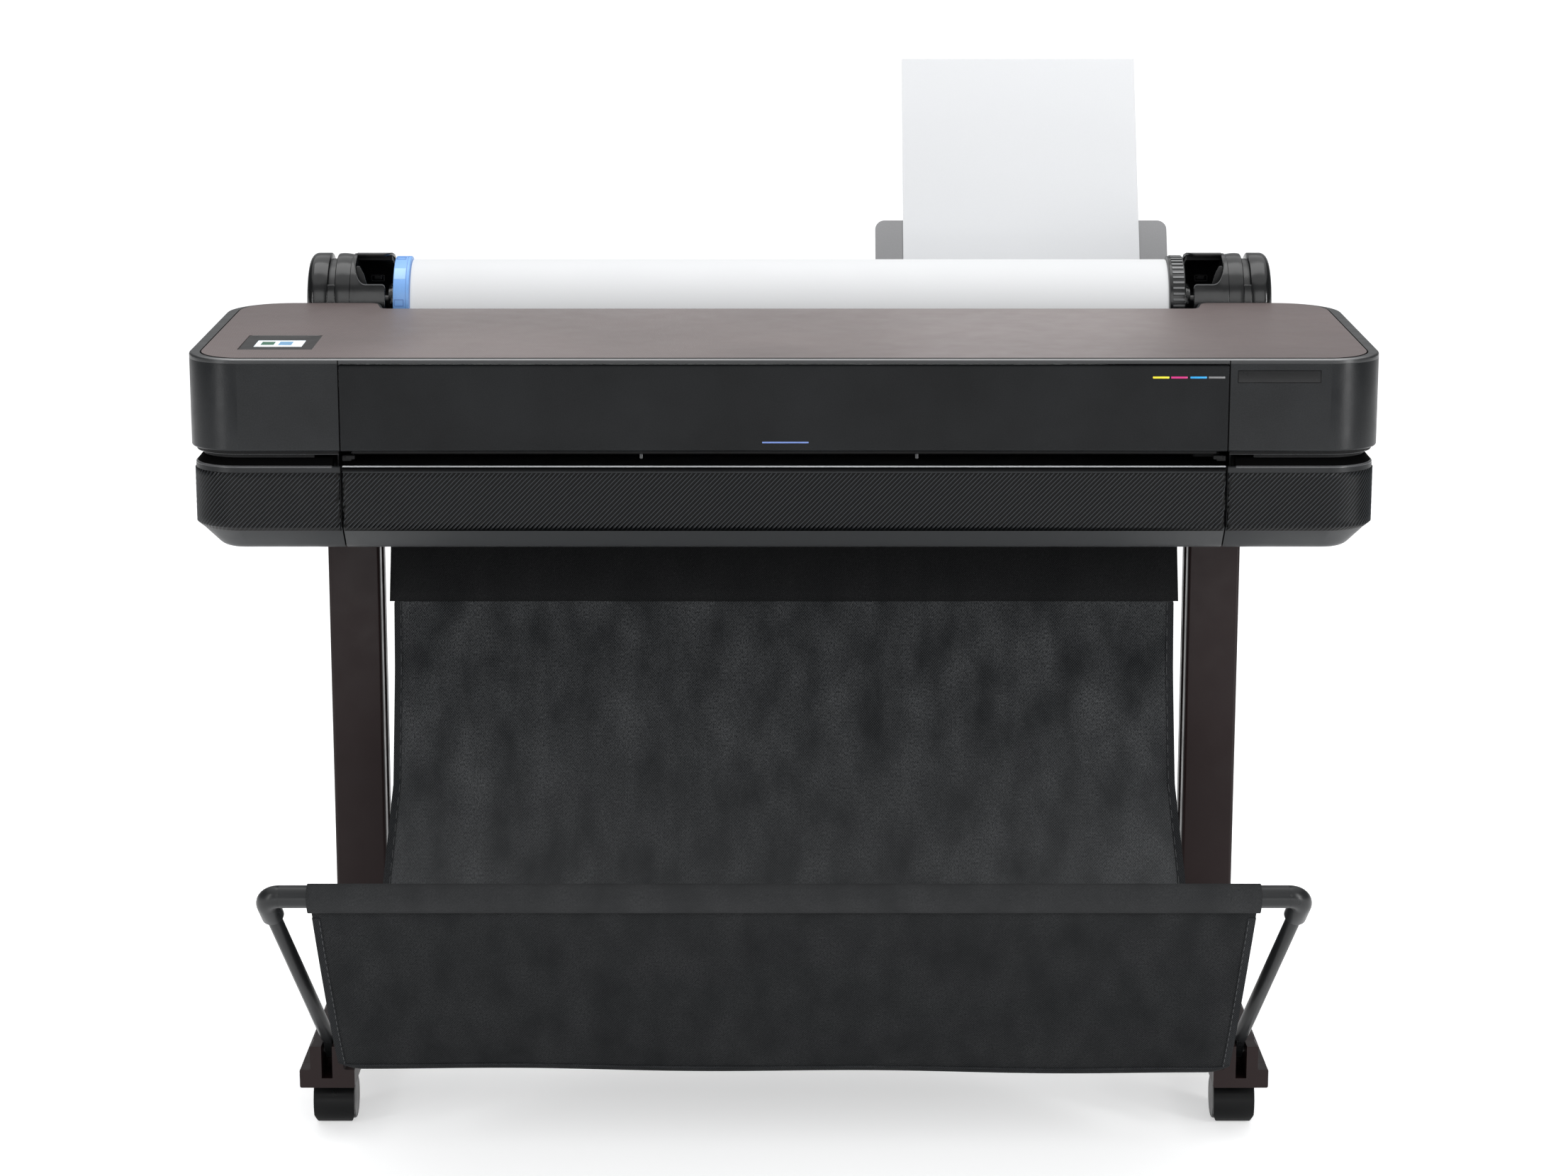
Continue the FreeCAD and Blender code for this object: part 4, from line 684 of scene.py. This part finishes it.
# dark lines of the seams, clips and tabs in the slot under the door
RIM_LOW = extent("top_rim")[0][2]
for side, name in SIDES:
    line_x = sorted((side * (SEAM - 0.3), side * (SEAM + 1.0)))
    parts = [block(*line_x, FRONT - 0.08, FRONT + 1.6, UNDER + 1.5, RIM_LOW + 3.6, 0.2, "z"),
             block(*line_x, LOW_FACE - 1.3, LOW_FACE + 1.6, CHAMFER_TOP, GUIDE_Z + 0.5, 0.2, "z")]
    make(f"seam_line_{name}", *join(parts), groove_black, "root", "inner_black")
    clip_x = sorted((side * (SEAM - 5), side * (SEAM - 15)))
    hook_x = sorted((side * (SEAM - 1), side * (SEAM - 11)))
    parts = [block(*clip_x, FRONT + 5, FRONT + 13, UNDER - 9.5, UNDER - 5.2, 0.8),
             block(*hook_x, FRONT + 9, FRONT + 20, UNDER - 12, UNDER - 6, 0.8)]
    make(f"slot_clip_{name}", *join(parts), inner, "root", "housing_gloss")
for x, name in ((-157, "left"), (146, "right")):
    tab = block(x - 1.6, x + 1.6, FRONT + 7, FRONT + 11, UNDER - 9, UNDER - 3, 0.6)
    make(f"door_tab_{name}", *tab, under_edge, "door", "housing_gloss")

# the groove between the lid and its rim, on the rim's sloping top
RIM_FRONT_Z, RIM_BACK_Z = 867.3, extent("top_rim")[1][2]
GROOVE_SIDE, GROOVE_FRONT, GROOVE_BACK = SIDE - 14, FRONT + 5, BACK - 5.6
FRONT_TURN, BACK_TURN = 50.2, 56


def rim_top(y):
    """Height of the rim's sloping top."""
    return RIM_FRONT_Z + (y - FRONT + 10) / (BACK - FRONT + 10) * (RIM_BACK_Z - RIM_FRONT_Z)


for side, name in SIDES:
    path = plan(side, GROOVE_FRONT, GROOVE_SIDE, FRONT_TURN, 0, GROOVE_BACK - BACK_TURN)
    for i in range(1, 13):
        a = math.pi / 2 * i / 12
        path.append((side * (GROOVE_SIDE - BACK_TURN + BACK_TURN * math.cos(a)),
                     GROOVE_BACK - BACK_TURN + BACK_TURN * math.sin(a), side * math.cos(a), math.sin(a)))
    rows = []
    for x, y, nx, ny in path:
        # the groove is widest at the front
        near = max(0, -ny) ** 2
        inner_edge, outer_edge = -0.3 - 1.6 * near, 1.4 + 0.7 * near
        rows.append([(x + nx * o, y + ny * o, rim_top(y) + up) for o, up in (
            (inner_edge, -0.8), (outer_edge, -0.8), (outer_edge, 0.15), (inner_edge, 0.15))])
    make(f"lid_groove_{name}", *skin(rows, ring=True), groove_black, "root", "inner_black")

# control panel picture
low, high = extent("touch_screen")
SCREEN_FRONT, SCREEN_RISE = 4.6, 9.2 - 7.6


def on_screen(x0, x1, y0, y1, name, look, lift):
    """A flat mark on the sloping screen; x0...x1 and y0...y1 are shares of its width and depth."""
    rows = []
    for up in (-0.4, lift):
        rows.append([(low[0] + sx * (high[0] - low[0]), low[1] + sy * (high[1] - low[1]),
                      low[2] + SCREEN_FRONT + SCREEN_RISE * sy + up)
                     for sx, sy in ((x0, y0), (x1, y0), (x1, y1), (x0, y1))])
    make(name, *skin(rows, ring=True), look, "root", "screen")


low_panel, high_panel = extent("control_panel")
panel_lines = [block(low_panel[0] + aside, high_panel[0] - aside, high_panel[1] - y0, high_panel[1] - y1,
                     high_panel[2] - deep, high_panel[2] + up, radius) for aside, y0, y1, deep, up, radius in (
    (3, 1.6, 0.4, 1, 0.25, 0.3), (12, 9, 8.2, 1.2, -0.12, 0.2))]
make("panel_back_edge", *join(panel_lines), moulding("panel_edge", (0.1, 0.1, 0.1), 0.3, 0.2), "root",
     "housing_gloss")
for x0, x1, name in ((0.03, 0.09, "left"), (0.47, 0.53, "middle"), (0.93, 0.97, "right")):
    mark = f"panel_mark_{name}"
    on_screen(x0, x1, -0.3, -0.24, mark, moulding(mark, (0.4, 0.4, 0.41), 0.4, 0.1), 0.0)
on_screen(0.12, 0.39, 0.3, 0.74, "picture_block_left", lit("picture_green", (0.02, 0.13, 0.07), 0.1), 0.3)
on_screen(0.49, 0.76, 0.27, 0.76, "picture_block_right", lit("picture_blue", (0.16, 0.36, 0.58), 0.15), 0.3)

# ---- roll holders and roll stops
SHIFT, AXIS_Y, AXIS_Z, _ = middle("media_roll")
R = middle("roll_holder_right")[3]
OUTER = extent("roll_holder_right")[1][0] - SHIFT
LIP_Z = AXIS_Z + 28


def turned(w, radius, degrees, side):
    """Point at a distance from the roll's middle, a radius and an angle: 90 is up, 180 the front."""
    a = math.radians(degrees)
    return SHIFT + side * w, AXIS_Y + radius * math.cos(a), AXIS_Z + radius * math.sin(a)


def lathe(profile, side):
    """A closed (w, radius) profile turned round the roll's axis."""
    rows = [[turned(w, r, 5 * i, side) for w, r in profile] for i in range(72)]
    return skin(rows, ring=True, loop=True)


def slab(w0, w1, r0, r1, a0, a1, side, steps=24):
    """Part of a ring between two angles."""
    rows = []
    for i in range(steps + 1):
        a = a0 + (a1 - a0) * i / steps
        rows.append([turned(w, r, a, side) for w, r in ((w0, r0), (w1, r0), (w1, r1), (w0, r1))])
    return skin(rows, ring=True)


def curved_plate(levels, low_angle, r_out, r_in, side, steps=14):
    """A curved plate from (w, top angle) pairs down to one angle."""
    rows = []
    for w, top in levels:
        angles = [top + (low_angle - top) * i / steps for i in range(steps + 1)]
        rows.append([turned(w, r_out, a, side) for a in angles]
                    + [turned(w, r_in, a, side) for a in angles[::-1]])
    return skin(rows, ring=True)


def front_angle(z, radius):
    """Angle on the front of a circle at a height."""
    return 180 - math.degrees(math.asin(max(-1, min(1, (z - AXIS_Z) / radius))))


ring_grey = moulding("holder_ring", (0.014, 0.0145, 0.015), 0.3, 0.15, depth=0.00002)
edge_light = moulding("holder_edge", (0.09, 0.092, 0.095), 0.3, 0.15, depth=0.00001)
lever_grey = moulding("holder_lever", (0.016, 0.0165, 0.017), 0.35, 0.15, depth=0.00002)
# black of the parts inside the holder's window, darker than the holder: painted shade in the recess
hollow = moulding("holder_inside", (0.004, 0.004, 0.0044), 0.5, 0.2, gleam=0.15)


def holder_piece(kind, mesh, look=holder, sharp=35, edge=None):
    """A fixed piece of the roll holder that is being built, with rounded edges if a width is given."""
    made = make(f"holder_{kind}_{name}", *mesh, look, "root", "holder_black", sharp=sharp)
    if edge:
        edged(made, edge)
    return made


# distances from the roll's middle: the bay's edge, the start of the lip's rise, the hood's edge, the outer disc
BAY, RISE, HOOD, DISC = 486, 509, 481, OUTER - 57
BAY_TURN = 4
for side, name in SIDES:
    dome = [(OUTER - 26, 20), (OUTER - 26, R - 1), (OUTER - 25, R)]
    for i in range(9):
        a = math.radians(90 * i / 8)
        dome.append((OUTER - 10 + 10 * math.sin(a), R - 13 + 13 * math.cos(a)))
    dome += [(OUTER - 0.6, R - 17), (OUTER - 2.6, R - 18), (OUTER - 2.6, R - 24), (OUTER - 0.4, R - 25),
             (OUTER - 0.4, 20)]
    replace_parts(holder_piece("cap", lathe(dome, side), sharp=50), f"roll_holder_{name}")
    ring = [(OUTER - 36, 30), (OUTER - 36, R - 7), (OUTER - 25, R - 7), (OUTER - 25, 30)]
    holder_piece("ring", lathe(ring, side), ring_grey, 50)
    holder_piece("bridge", slab(OUTER - 35, OUTER - 25, R - 12, R - 0.1, front_angle(LIP_Z, R), 395, side, 60),
                 edge=1.2)
    drum = [(OUTER - 58, R - 6), (OUTER - 58, R - 1.6), (OUTER - 57.4, R - 0.9), (OUTER - 53.5, R - 0.6)]
    for i in range(9):
        t = i / 8
        drum.append((OUTER - 53 + 18 * t, R - 1.9 * (1 - t) ** 2 - 0.9 * t ** 4))
    drum += [(OUTER - 34, R - 1.8), (OUTER - 34, R - 12), (OUTER - 50, R - 12)]
    holder_piece("drum", lathe(drum, side), sharp=30, edge=0.5)
    # front lip of the bay: level in the middle, rising in a curve to the disc
    levels = []
    for i in range(42):
        w = BAY + (OUTER - 52 - BAY) * i / 41
        if w < BAY + BAY_TURN:
            z = LIP_Z - BAY_TURN + math.sqrt(max(0, BAY_TURN ** 2 - (BAY + BAY_TURN - w) ** 2))
        elif w < RISE:
            z = LIP_Z
        else:
            t = min(1, (w - RISE) / (DISC - RISE))
            z = LIP_Z + (AXIS_Z + R - 3 - LIP_Z) * (1 - math.sqrt(max(0, 1 - t ** 2.2)))
        levels.append((w, front_angle(min(z, AXIS_Z + R - 3.5), R - 0.4)))
    holder_piece("lip", curved_plate(levels, 262, R - 0.4, R - 4, side), sharp=40, edge=0.9)
    # a light trim along the top edge of the lip: painted highlight
    trim = ((R - 0.1, 0.0), (R - 0.1, 1.3), (R - 1.6, 1.3), (R - 1.6, -0.4))
    rows = [[turned(w, r, top + d, side) for r, d in trim] for w, top in levels if w < DISC]
    holder_piece("trim", skin(rows, ring=True), edge_light)
    hood_levels = []
    for i in range(24):
        w = HOOD + (OUTER - 56 - HOOD) * i / 23
        t = min(1, (w - HOOD) / 12)
        hood_levels.append((w, 97 - 28 * (1 - math.sqrt(max(0, 1 - (1 - t) ** 2)))))
    holder_piece("hood", curved_plate(hood_levels, -60, R, R - 3.5, side, 30), sharp=40, edge=0.8)
    holder_piece("lining", slab(HOOD + 2, DISC, R - 9, R - 4, 88, -60, side, 30), hollow)
    wall = [(OUTER - 57.5, 20), (OUTER - 57.5, R - 6), (OUTER - 54, R - 6), (OUTER - 54, 20)]
    holder_piece("wall", lathe(wall, side), hollow)
    holder_piece("floor", slab(BAY, OUTER - 56, R - 16, R - 4, 215, 300, side, 20), hollow)
    # saddle that carries the spindle, lever and latch frame
    holder_piece("saddle", slab(503, 517, 23, 44, 200, 340, side), edge=0.8)
    lever = rounded([(SHIFT + side * w, AXIS_Z + z) for w, z in (
        (522.5, 18), (508, 18), (513, 38), (518, 48), (522.5, 48))], 2)
    holder_piece("lever", bar(lever, "y", AXIS_Y - 36, AXIS_Y - 33), lever_grey, edge=0.4)
    x0, x1 = sorted((SHIFT + side * 494, SHIFT + side * 510))
    latch = [block(a0, a1, AXIS_Y + 10, AXIS_Y + 12, AXIS_Z + b0, AXIS_Z + b1, 0.3) for a0, a1, b0, b1 in (
        (x0, x1, 24, 25.2), (x0, x1, 31, 32.2), (x0, x0 + 1.2, 24, 32.2), (x1 - 1.2, x1, 24, 32.2))]
    holder_piece("latch", join(latch), hollow)
    holder_piece("post", block(x0 + 4, x1 - 4, AXIS_Y + 11, AXIS_Y + 50, AXIS_Z + 26, AXIS_Z + 31, 1), hollow)
    dots = []
    for i in range(18):
        a = 90 + 360 * i / 18
        for w in (478.5, 482.2):
            dots.append(slab(w, w + 1.8, 21, 22.5, a, a + 8, side, 2))
    make(f"collar_dots_{name}", *join(dots), ring_grey, "media", "holder_black")

# facets, marks and ring of the roll stop, and the grip of the flange
STOP_R = middle("roll_stop")[3]
pale_blue = moulding("stop_pale_blue", (0.36, 0.6, 0.92), 0.35, 0.05, depth=0.00001)
deep_blue = moulding("stop_deep_blue", (0.1, 0.22, 0.55), 0.35, 0.05, depth=0.00001)
stop_out = SHIFT - extent("roll_stop")[0][0]
facets, marks = [], []
for i in range(5):
    a = front_angle(AXIS_Z + 45, STOP_R) + 72 * i
    facets.append(slab(stop_out - 14.5, stop_out - 0.6, STOP_R - 1, STOP_R + 0.25, a, a + 17, -1, 8))
    a = front_angle(AXIS_Z + 10, STOP_R) + 72 * i
    for w0, w1, a0, a1 in ((1.5, 13, 0, 0.8), (1.5, 13, 7.6, 8.4), (1.5, 2.3, 0, 8.4), (12.2, 13, 0, 8.4)):
        marks.append(slab(stop_out - w1, stop_out - w0, STOP_R - 1, STOP_R + 0.4, a + a0, a + a1, -1, 4))
edged(make("stop_facets", *join(facets), pale_blue, "media", "stop_blue"), 0.2)
make("stop_marks", *join(marks), deep_blue, "media", "stop_blue")
ring = lathe([(stop_out - 15.6, STOP_R - 3), (stop_out - 15.6, STOP_R + 0.1), (stop_out - 15.0, STOP_R + 0.1),
              (stop_out - 15.0, STOP_R - 3)], -1)
make("stop_ring", *ring, deep_blue, "media", "stop_blue")

GRIP_PITCH = 360 / 49
flange_out = extent("drive_flange")[1][0] - SHIFT
grip = [slab(flange_out - 15.5, flange_out - 1.5, STOP_R - 2, STOP_R + 1.0, i * GRIP_PITCH,
             (i + 0.42) * GRIP_PITCH, 1, 2) for i in range(49)]
# painted highlight: the grip ribs are painted light where they face up and to the front
grip_look = painted_light_by_facing("flange_grip", (0, -0.55, 0.835), 3, (0.012, 0.0125, 0.013), (0.22, 0.223, 0.226), 0.3, 0.5)
edged(make("flange_grip", *join(grip), grip_look, "media", "holder_black"), 0.5)

# ---- basket cloth
_, ROD_Y, ROD_Z, _ = middle("cloth_rod")
_, BAR_Y, BAR_Z, BAR_R = middle("basket_bar")
FOLD_BACK, FOLD_FRONT = FRONT - 95, FRONT - 166
FOLD_Z = extent("basket_cloth_front")[0][2]


def arc(cy, cz, r, start, end, steps):
    """Points (y, z) of an arc between two angles."""
    return [(cy + r * math.cos(math.radians(start + (end - start) * i / steps)),
             cz + r * math.sin(math.radians(start + (end - start) * i / steps))) for i in range(steps + 1)]


def spread(points, gap):
    """The same line with points no further apart than the gap."""
    out = [points[0]]
    for (ax, ay), (bx, by) in zip(points, points[1:]):
        count = max(1, int(math.hypot(bx - ax, by - ay) / gap))
        for i in range(1, count + 1):
            out.append((ax + (bx - ax) * i / count, ay + (by - ay) * i / count))
    return out


def heading(points, i):
    """Unit direction (y, z) of a line at one of its points."""
    (ay, az), (by, bz) = points[max(0, i - 1)], points[min(len(points) - 1, i + 1)]
    size = math.hypot(by - ay, bz - az) or 1
    return (by - ay) / size, (bz - az) / size


def thicken(made, thickness):
    """Thickness in metres for a sheet of cloth, half on each side."""
    solid = made.modifiers.new("thickness", "SOLIDIFY")
    solid.thickness = thickness
    solid.offset = 0


CLOTH, CLOTH_THICK, BAND_THICK = 0.7, 0.00084, 0.001
BACK_SAG, FLAP_SAG = 7, 3.5
# from behind the rod, over it, down the back panel, over the floor, up the flap and round the bar
rod_r = 5 + CLOTH + 0.6
line = [(ROD_Y + rod_r, ROD_Z - 40)] + arc(ROD_Y, ROD_Z, rod_r, 0, 180, 8)
top_y, top_z = line[-1]
for i in range(1, 40):
    t = i / 39
    bow = BACK_SAG * 4 * t * (1 - t)
    line.append((top_y + (FOLD_BACK - top_y) * t + bow * 0.9, top_z + (FOLD_Z + 6 - top_z) * t - bow * 0.42))
line[-1:] = rounded([line[-1], (FOLD_BACK, FOLD_Z + 1), (FOLD_FRONT, FOLD_Z + 1)], [0, 9, 0], 5)[1:-1]
seam_y, seam_z = BAR_Y + 4.5, BAR_Z - BAR_R - 5
line += rounded([line[-1], (FOLD_FRONT, FOLD_Z + 1), (seam_y, seam_z)], [0, 10, 0], 6)[1:-1]
start_y, start_z = line[-1]
for i in range(1, 26):
    t = i / 26
    bow = FLAP_SAG * 4 * t * (1 - t)
    line.append((start_y + (seam_y - start_y) * t - bow * 0.9, start_z + (seam_z - start_z) * t - bow * 0.4))
line.append((seam_y, seam_z))
line += arc(BAR_Y, BAR_Z, BAR_R + CLOTH + 0.5, -25, 205, 18)
line += [(BAR_Y - 6.8, BAR_Z - BAR_R - 2), (BAR_Y - 2.6, BAR_Z - BAR_R - 5)]
line = spread(line, 9)
lengths = [0.0]
for (ay, az), (by, bz) in zip(line, line[1:]):
    lengths.append(lengths[-1] + math.hypot(by - ay, bz - az))


def blend_values(table, at):
    """Linear interpolation in a table of (position, value)."""
    if at <= table[0][0]:
        return table[0][1]
    for (a, va), (b, vb) in zip(table, table[1:]):
        if at <= b:
            return va + (vb - va) * (at - a) / (b - a)
    return table[-1][1]


# half widths of the cloth: at heights on the back panel and on the flap, over its floor and round the bar
BACK_WIDTH = [(104, 452), (200, 452), (277, 450), (380, 441), (500, 442), (600, 445), (641, 446)]
FLAP_WIDTH = [(104, 480), (112, 484), (200, 488), (322, 495), (340, 498), (400, 498)]
FLOOR_WIDTH = [(0, 452), (1, 479)]
BAR_WIDTH = 498


def half_width(index):
    """Half width of the cloth at a point of its line."""
    y, z = line[index]
    if y > FOLD_BACK + 2:
        return blend_values(BACK_WIDTH, z)
    if y > FOLD_FRONT - 2:
        return blend_values(FLOOR_WIDTH, (FOLD_BACK - y) / (FOLD_BACK - FOLD_FRONT))
    if z > seam_z + 1 or index > len(line) - 4:
        return BAR_WIDTH
    return blend_values(FLAP_WIDTH, z)


def ripple_at(x, u, y, z):
    """A fold's distance from the smooth cloth and its rise over the floor; u runs from -1 to 1 across."""
    ripple = 0.0
    if y > FOLD_BACK + 5 and z < ROD_Z - 8:
        t = (z - FOLD_Z) / (ROD_Z - FOLD_Z)
        calm = math.sin(math.pi * min(1, max(0, t)))
        ripple = calm * (1.6 * math.sin(x / 88 + 2.1 * t) + 1.1 * math.sin(x / 41 - 3.3 * t + 0.7)
                         + 0.6 * math.sin(x / 19 + 5 * t))
        ripple += calm * 3.0 * (abs(u) ** 6)
    if y < FOLD_FRONT - 4 and z < seam_z - 6:
        t = (z - FOLD_Z) / (seam_z - FOLD_Z)
        calm = math.sin(math.pi * min(1, max(0, t)))
        ripple = calm * (1.2 * math.sin(x / 97 + 1.3) + 0.7 * math.sin(x / 37 + 4 * t))
    low = max(0.0, 1 - (z - FOLD_Z) / 60) if y < FOLD_BACK + 60 else 0.0
    return ripple, low * (3.2 - 3.4 * u + 1.2 * math.sin(x / 61) + 4 * max(0.0, abs(u) - 0.975) / 0.025)


ACROSS = 110
cloth_rows, flat = [], []
for i, (y, z) in enumerate(line):
    half = half_width(i)
    ty, tz = heading(line, i)
    row = []
    for j in range(ACROSS + 1):
        u = -1 + 2 * j / ACROSS
        x = u * half
        ripple, rise = ripple_at(x, u, y, z)
        row.append((x, y - tz * ripple, z + ty * ripple + rise))
        flat.append((x, lengths[i]))
    cloth_rows.append(row)
cloth = make("basket_cloth", *skin(cloth_rows), cloth_look, None, "basket_cloth", sharp=180, uv=flat)
cloth.data.materials.append(flap_look)
for face in cloth.data.polygons:
    y = sum(cloth.data.vertices[v].co.y for v in face.vertices) / len(face.vertices) / MM
    if y < FOLD_BACK:
        face.material_index = 1
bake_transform(cloth)
thicken(cloth, CLOTH_THICK)
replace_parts(cloth, "basket_cloth_back", "basket_cloth_front")

# hem band over the rod
BAND_Z, BAND_HALF, BAND_OUT = 572.5, 449.5, 1.4
over = [i for i, (y, z) in enumerate(line) if y > FOLD_BACK + 5 and z > BAND_Z]
(ay, az), (by, bz) = line[over[-1]], line[over[-1] + 1]
band_line = [line[i] for i in over]
band_line.append((ay + (by - ay) * (az - BAND_Z) / (az - bz), BAND_Z))
band_rows, flat = [], []
s = 0.0
for i, (y, z) in enumerate(band_line):
    ty, tz = heading(band_line, i)
    ay, az = band_line[max(0, i - 1)]
    s += math.hypot(y - ay, z - az)
    band_rows.append([(-BAND_HALF + 2 * BAND_HALF * j / ACROSS, y + tz * BAND_OUT, z - ty * BAND_OUT)
                      for j in range(ACROSS + 1)])
    flat += [(x, s) for x, y, z in band_rows[-1]]
band = make("basket_hem_band", *skin(band_rows), band_look, "root", "basket_cloth", sharp=180, uv=flat)
thicken(band, BAND_THICK)


def edge_strip(name, chosen, inner_w, outer_w, lift, look, body, dash=None):
    """A hem or a row of stitches along both side edges of the cloth, on the side that shows."""
    parts = []
    for side in (1, -1):
        strip = []
        for i in chosen:
            row = cloth_rows[i] if side < 0 else cloth_rows[i][::-1]
            ty, tz = heading(line, i)
            out = -1 if line[i + 1][0] < FOLD_BACK and tz > 0 else 1
            ends = []
            for w in (outer_w, inner_w):
                step = abs(row[1][0] - row[0][0])
                k = min(len(row) - 2, int(w / step))
                t = w / step - k
                ends.append([a + (b - a) * t for a, b in zip(row[k], row[k + 1])])
            strip.append([(p[0], p[1] + out * tz * up, p[2] - out * ty * up)
                          for p, up in ((ends[0], -0.3), (ends[1], -0.3), (ends[1], lift), (ends[0], lift))])
        if dash is None:
            parts.append(skin(strip, ring=True))
            continue
        for a, b in zip(strip, strip[1:]):
            far = [tuple(p + (q - p) * dash for p, q in zip(u, v)) for u, v in zip(a, b)]
            parts.append(skin([a, far], ring=True))
    points, faces = join(parts)
    return make(name, points, faces, look, body, "basket_cloth", sharp=60, uv=[(p[0], p[2]) for p in points])


def seam_roll(name, index, radius, look, body):
    """A thin rolled seam across the cloth."""
    strip = [[(x, *p) for p in arc(y - 0.9, z, radius, 0, 300, 5)] for x, y, z in cloth_rows[index]]
    points, faces = skin(strip, ring=True)
    return make(name, points, faces, look, body, "basket_cloth", sharp=80, uv=[(p[0], p[2]) for p in points])


hem_look = woven("hem_cloth", (0.006, 0.0066, 0.0073), (0.024, 0.0255, 0.0275), (0.03, 0.031, 0.033),
                 HEM_WEAVE)
thread = moulding("thread", (0.022, 0.0235, 0.0255), 0.6, 0.2)
back_rows = [i for i, (y, z) in enumerate(line) if y > FOLD_BACK + 25 and z < BAND_Z]
flap_rows = [i for i, (y, z) in enumerate(line) if y < FOLD_FRONT - 3 and i > len(line) / 2 and z < seam_z - 2
             and i < len(line) - 6]
bottom_row = next(i for i in flap_rows if line[i][1] > FOLD_Z + 5)
trimmings = [
    edge_strip("back_hems", back_rows, 8, -0.4, 1.2, hem_look, "root"),
    edge_strip("back_stitches", back_rows, 7.4, 6.7, 1.5, thread, "root", dash=0.6),
    edge_strip("flap_hems", flap_rows, 8, -0.4, 1.2, hem_look, "basket"),
    edge_strip("flap_stitches", flap_rows, 7.2, 6.4, 1.5, thread, "basket", dash=0.6),
    seam_roll("flap_bottom_seam", bottom_row, 1.3, hem_look, "basket"),
]

# ---- casters
for corner in ("front_left", "front_right", "rear_left", "rear_right"):
    _, axle_y, axle_z, _ = middle(f"caster_wheels_{corner}")
    hood_low, hood_high = extent(f"caster_hood_{corner}")
    rows = []
    for i in range(15):
        a = math.radians(128 + 100 * i / 14)
        inset = 3.5 * max(0, i - 11) / 3
        x0, x1 = hood_low[0] + inset, hood_high[0] - inset
        rows.append([(x, axle_y + r * math.cos(a), axle_z + r * math.sin(a))
                     for x, r in ((x0, 26.7), (x1, 26.7), (x1, 31.1), (x0, 31.1))])
    skirt = make(f"caster_skirt_{corner}", *skin(rows, ring=True), wheel, f"swivel_{corner}",
                 "wheel_black")
    edged(skirt, 1.0)

# ---- floor
floor_mesh = bpy.data.meshes.new("floor")
floor_mesh.from_pydata([(-60, -20, 0), (60, -20, 0), (60, 90, 0), (-60, 90, 0)], [], [(0, 1, 2, 3)])
floor = bpy.data.objects.new("floor", floor_mesh)
scene.collection.objects.link(floor)
look, tree, shader, place = start("floor_white")
give(shader, colour=tone(tree, vary(tree, place, 3, 0, 1), (0.8, 0.805, 0.81), (0.82, 0.822, 0.825)), rough=0.8,
     gleam=0.1, glow=(1, 1, 1, 1), power=0.5)
floor_mesh.materials.append(look)
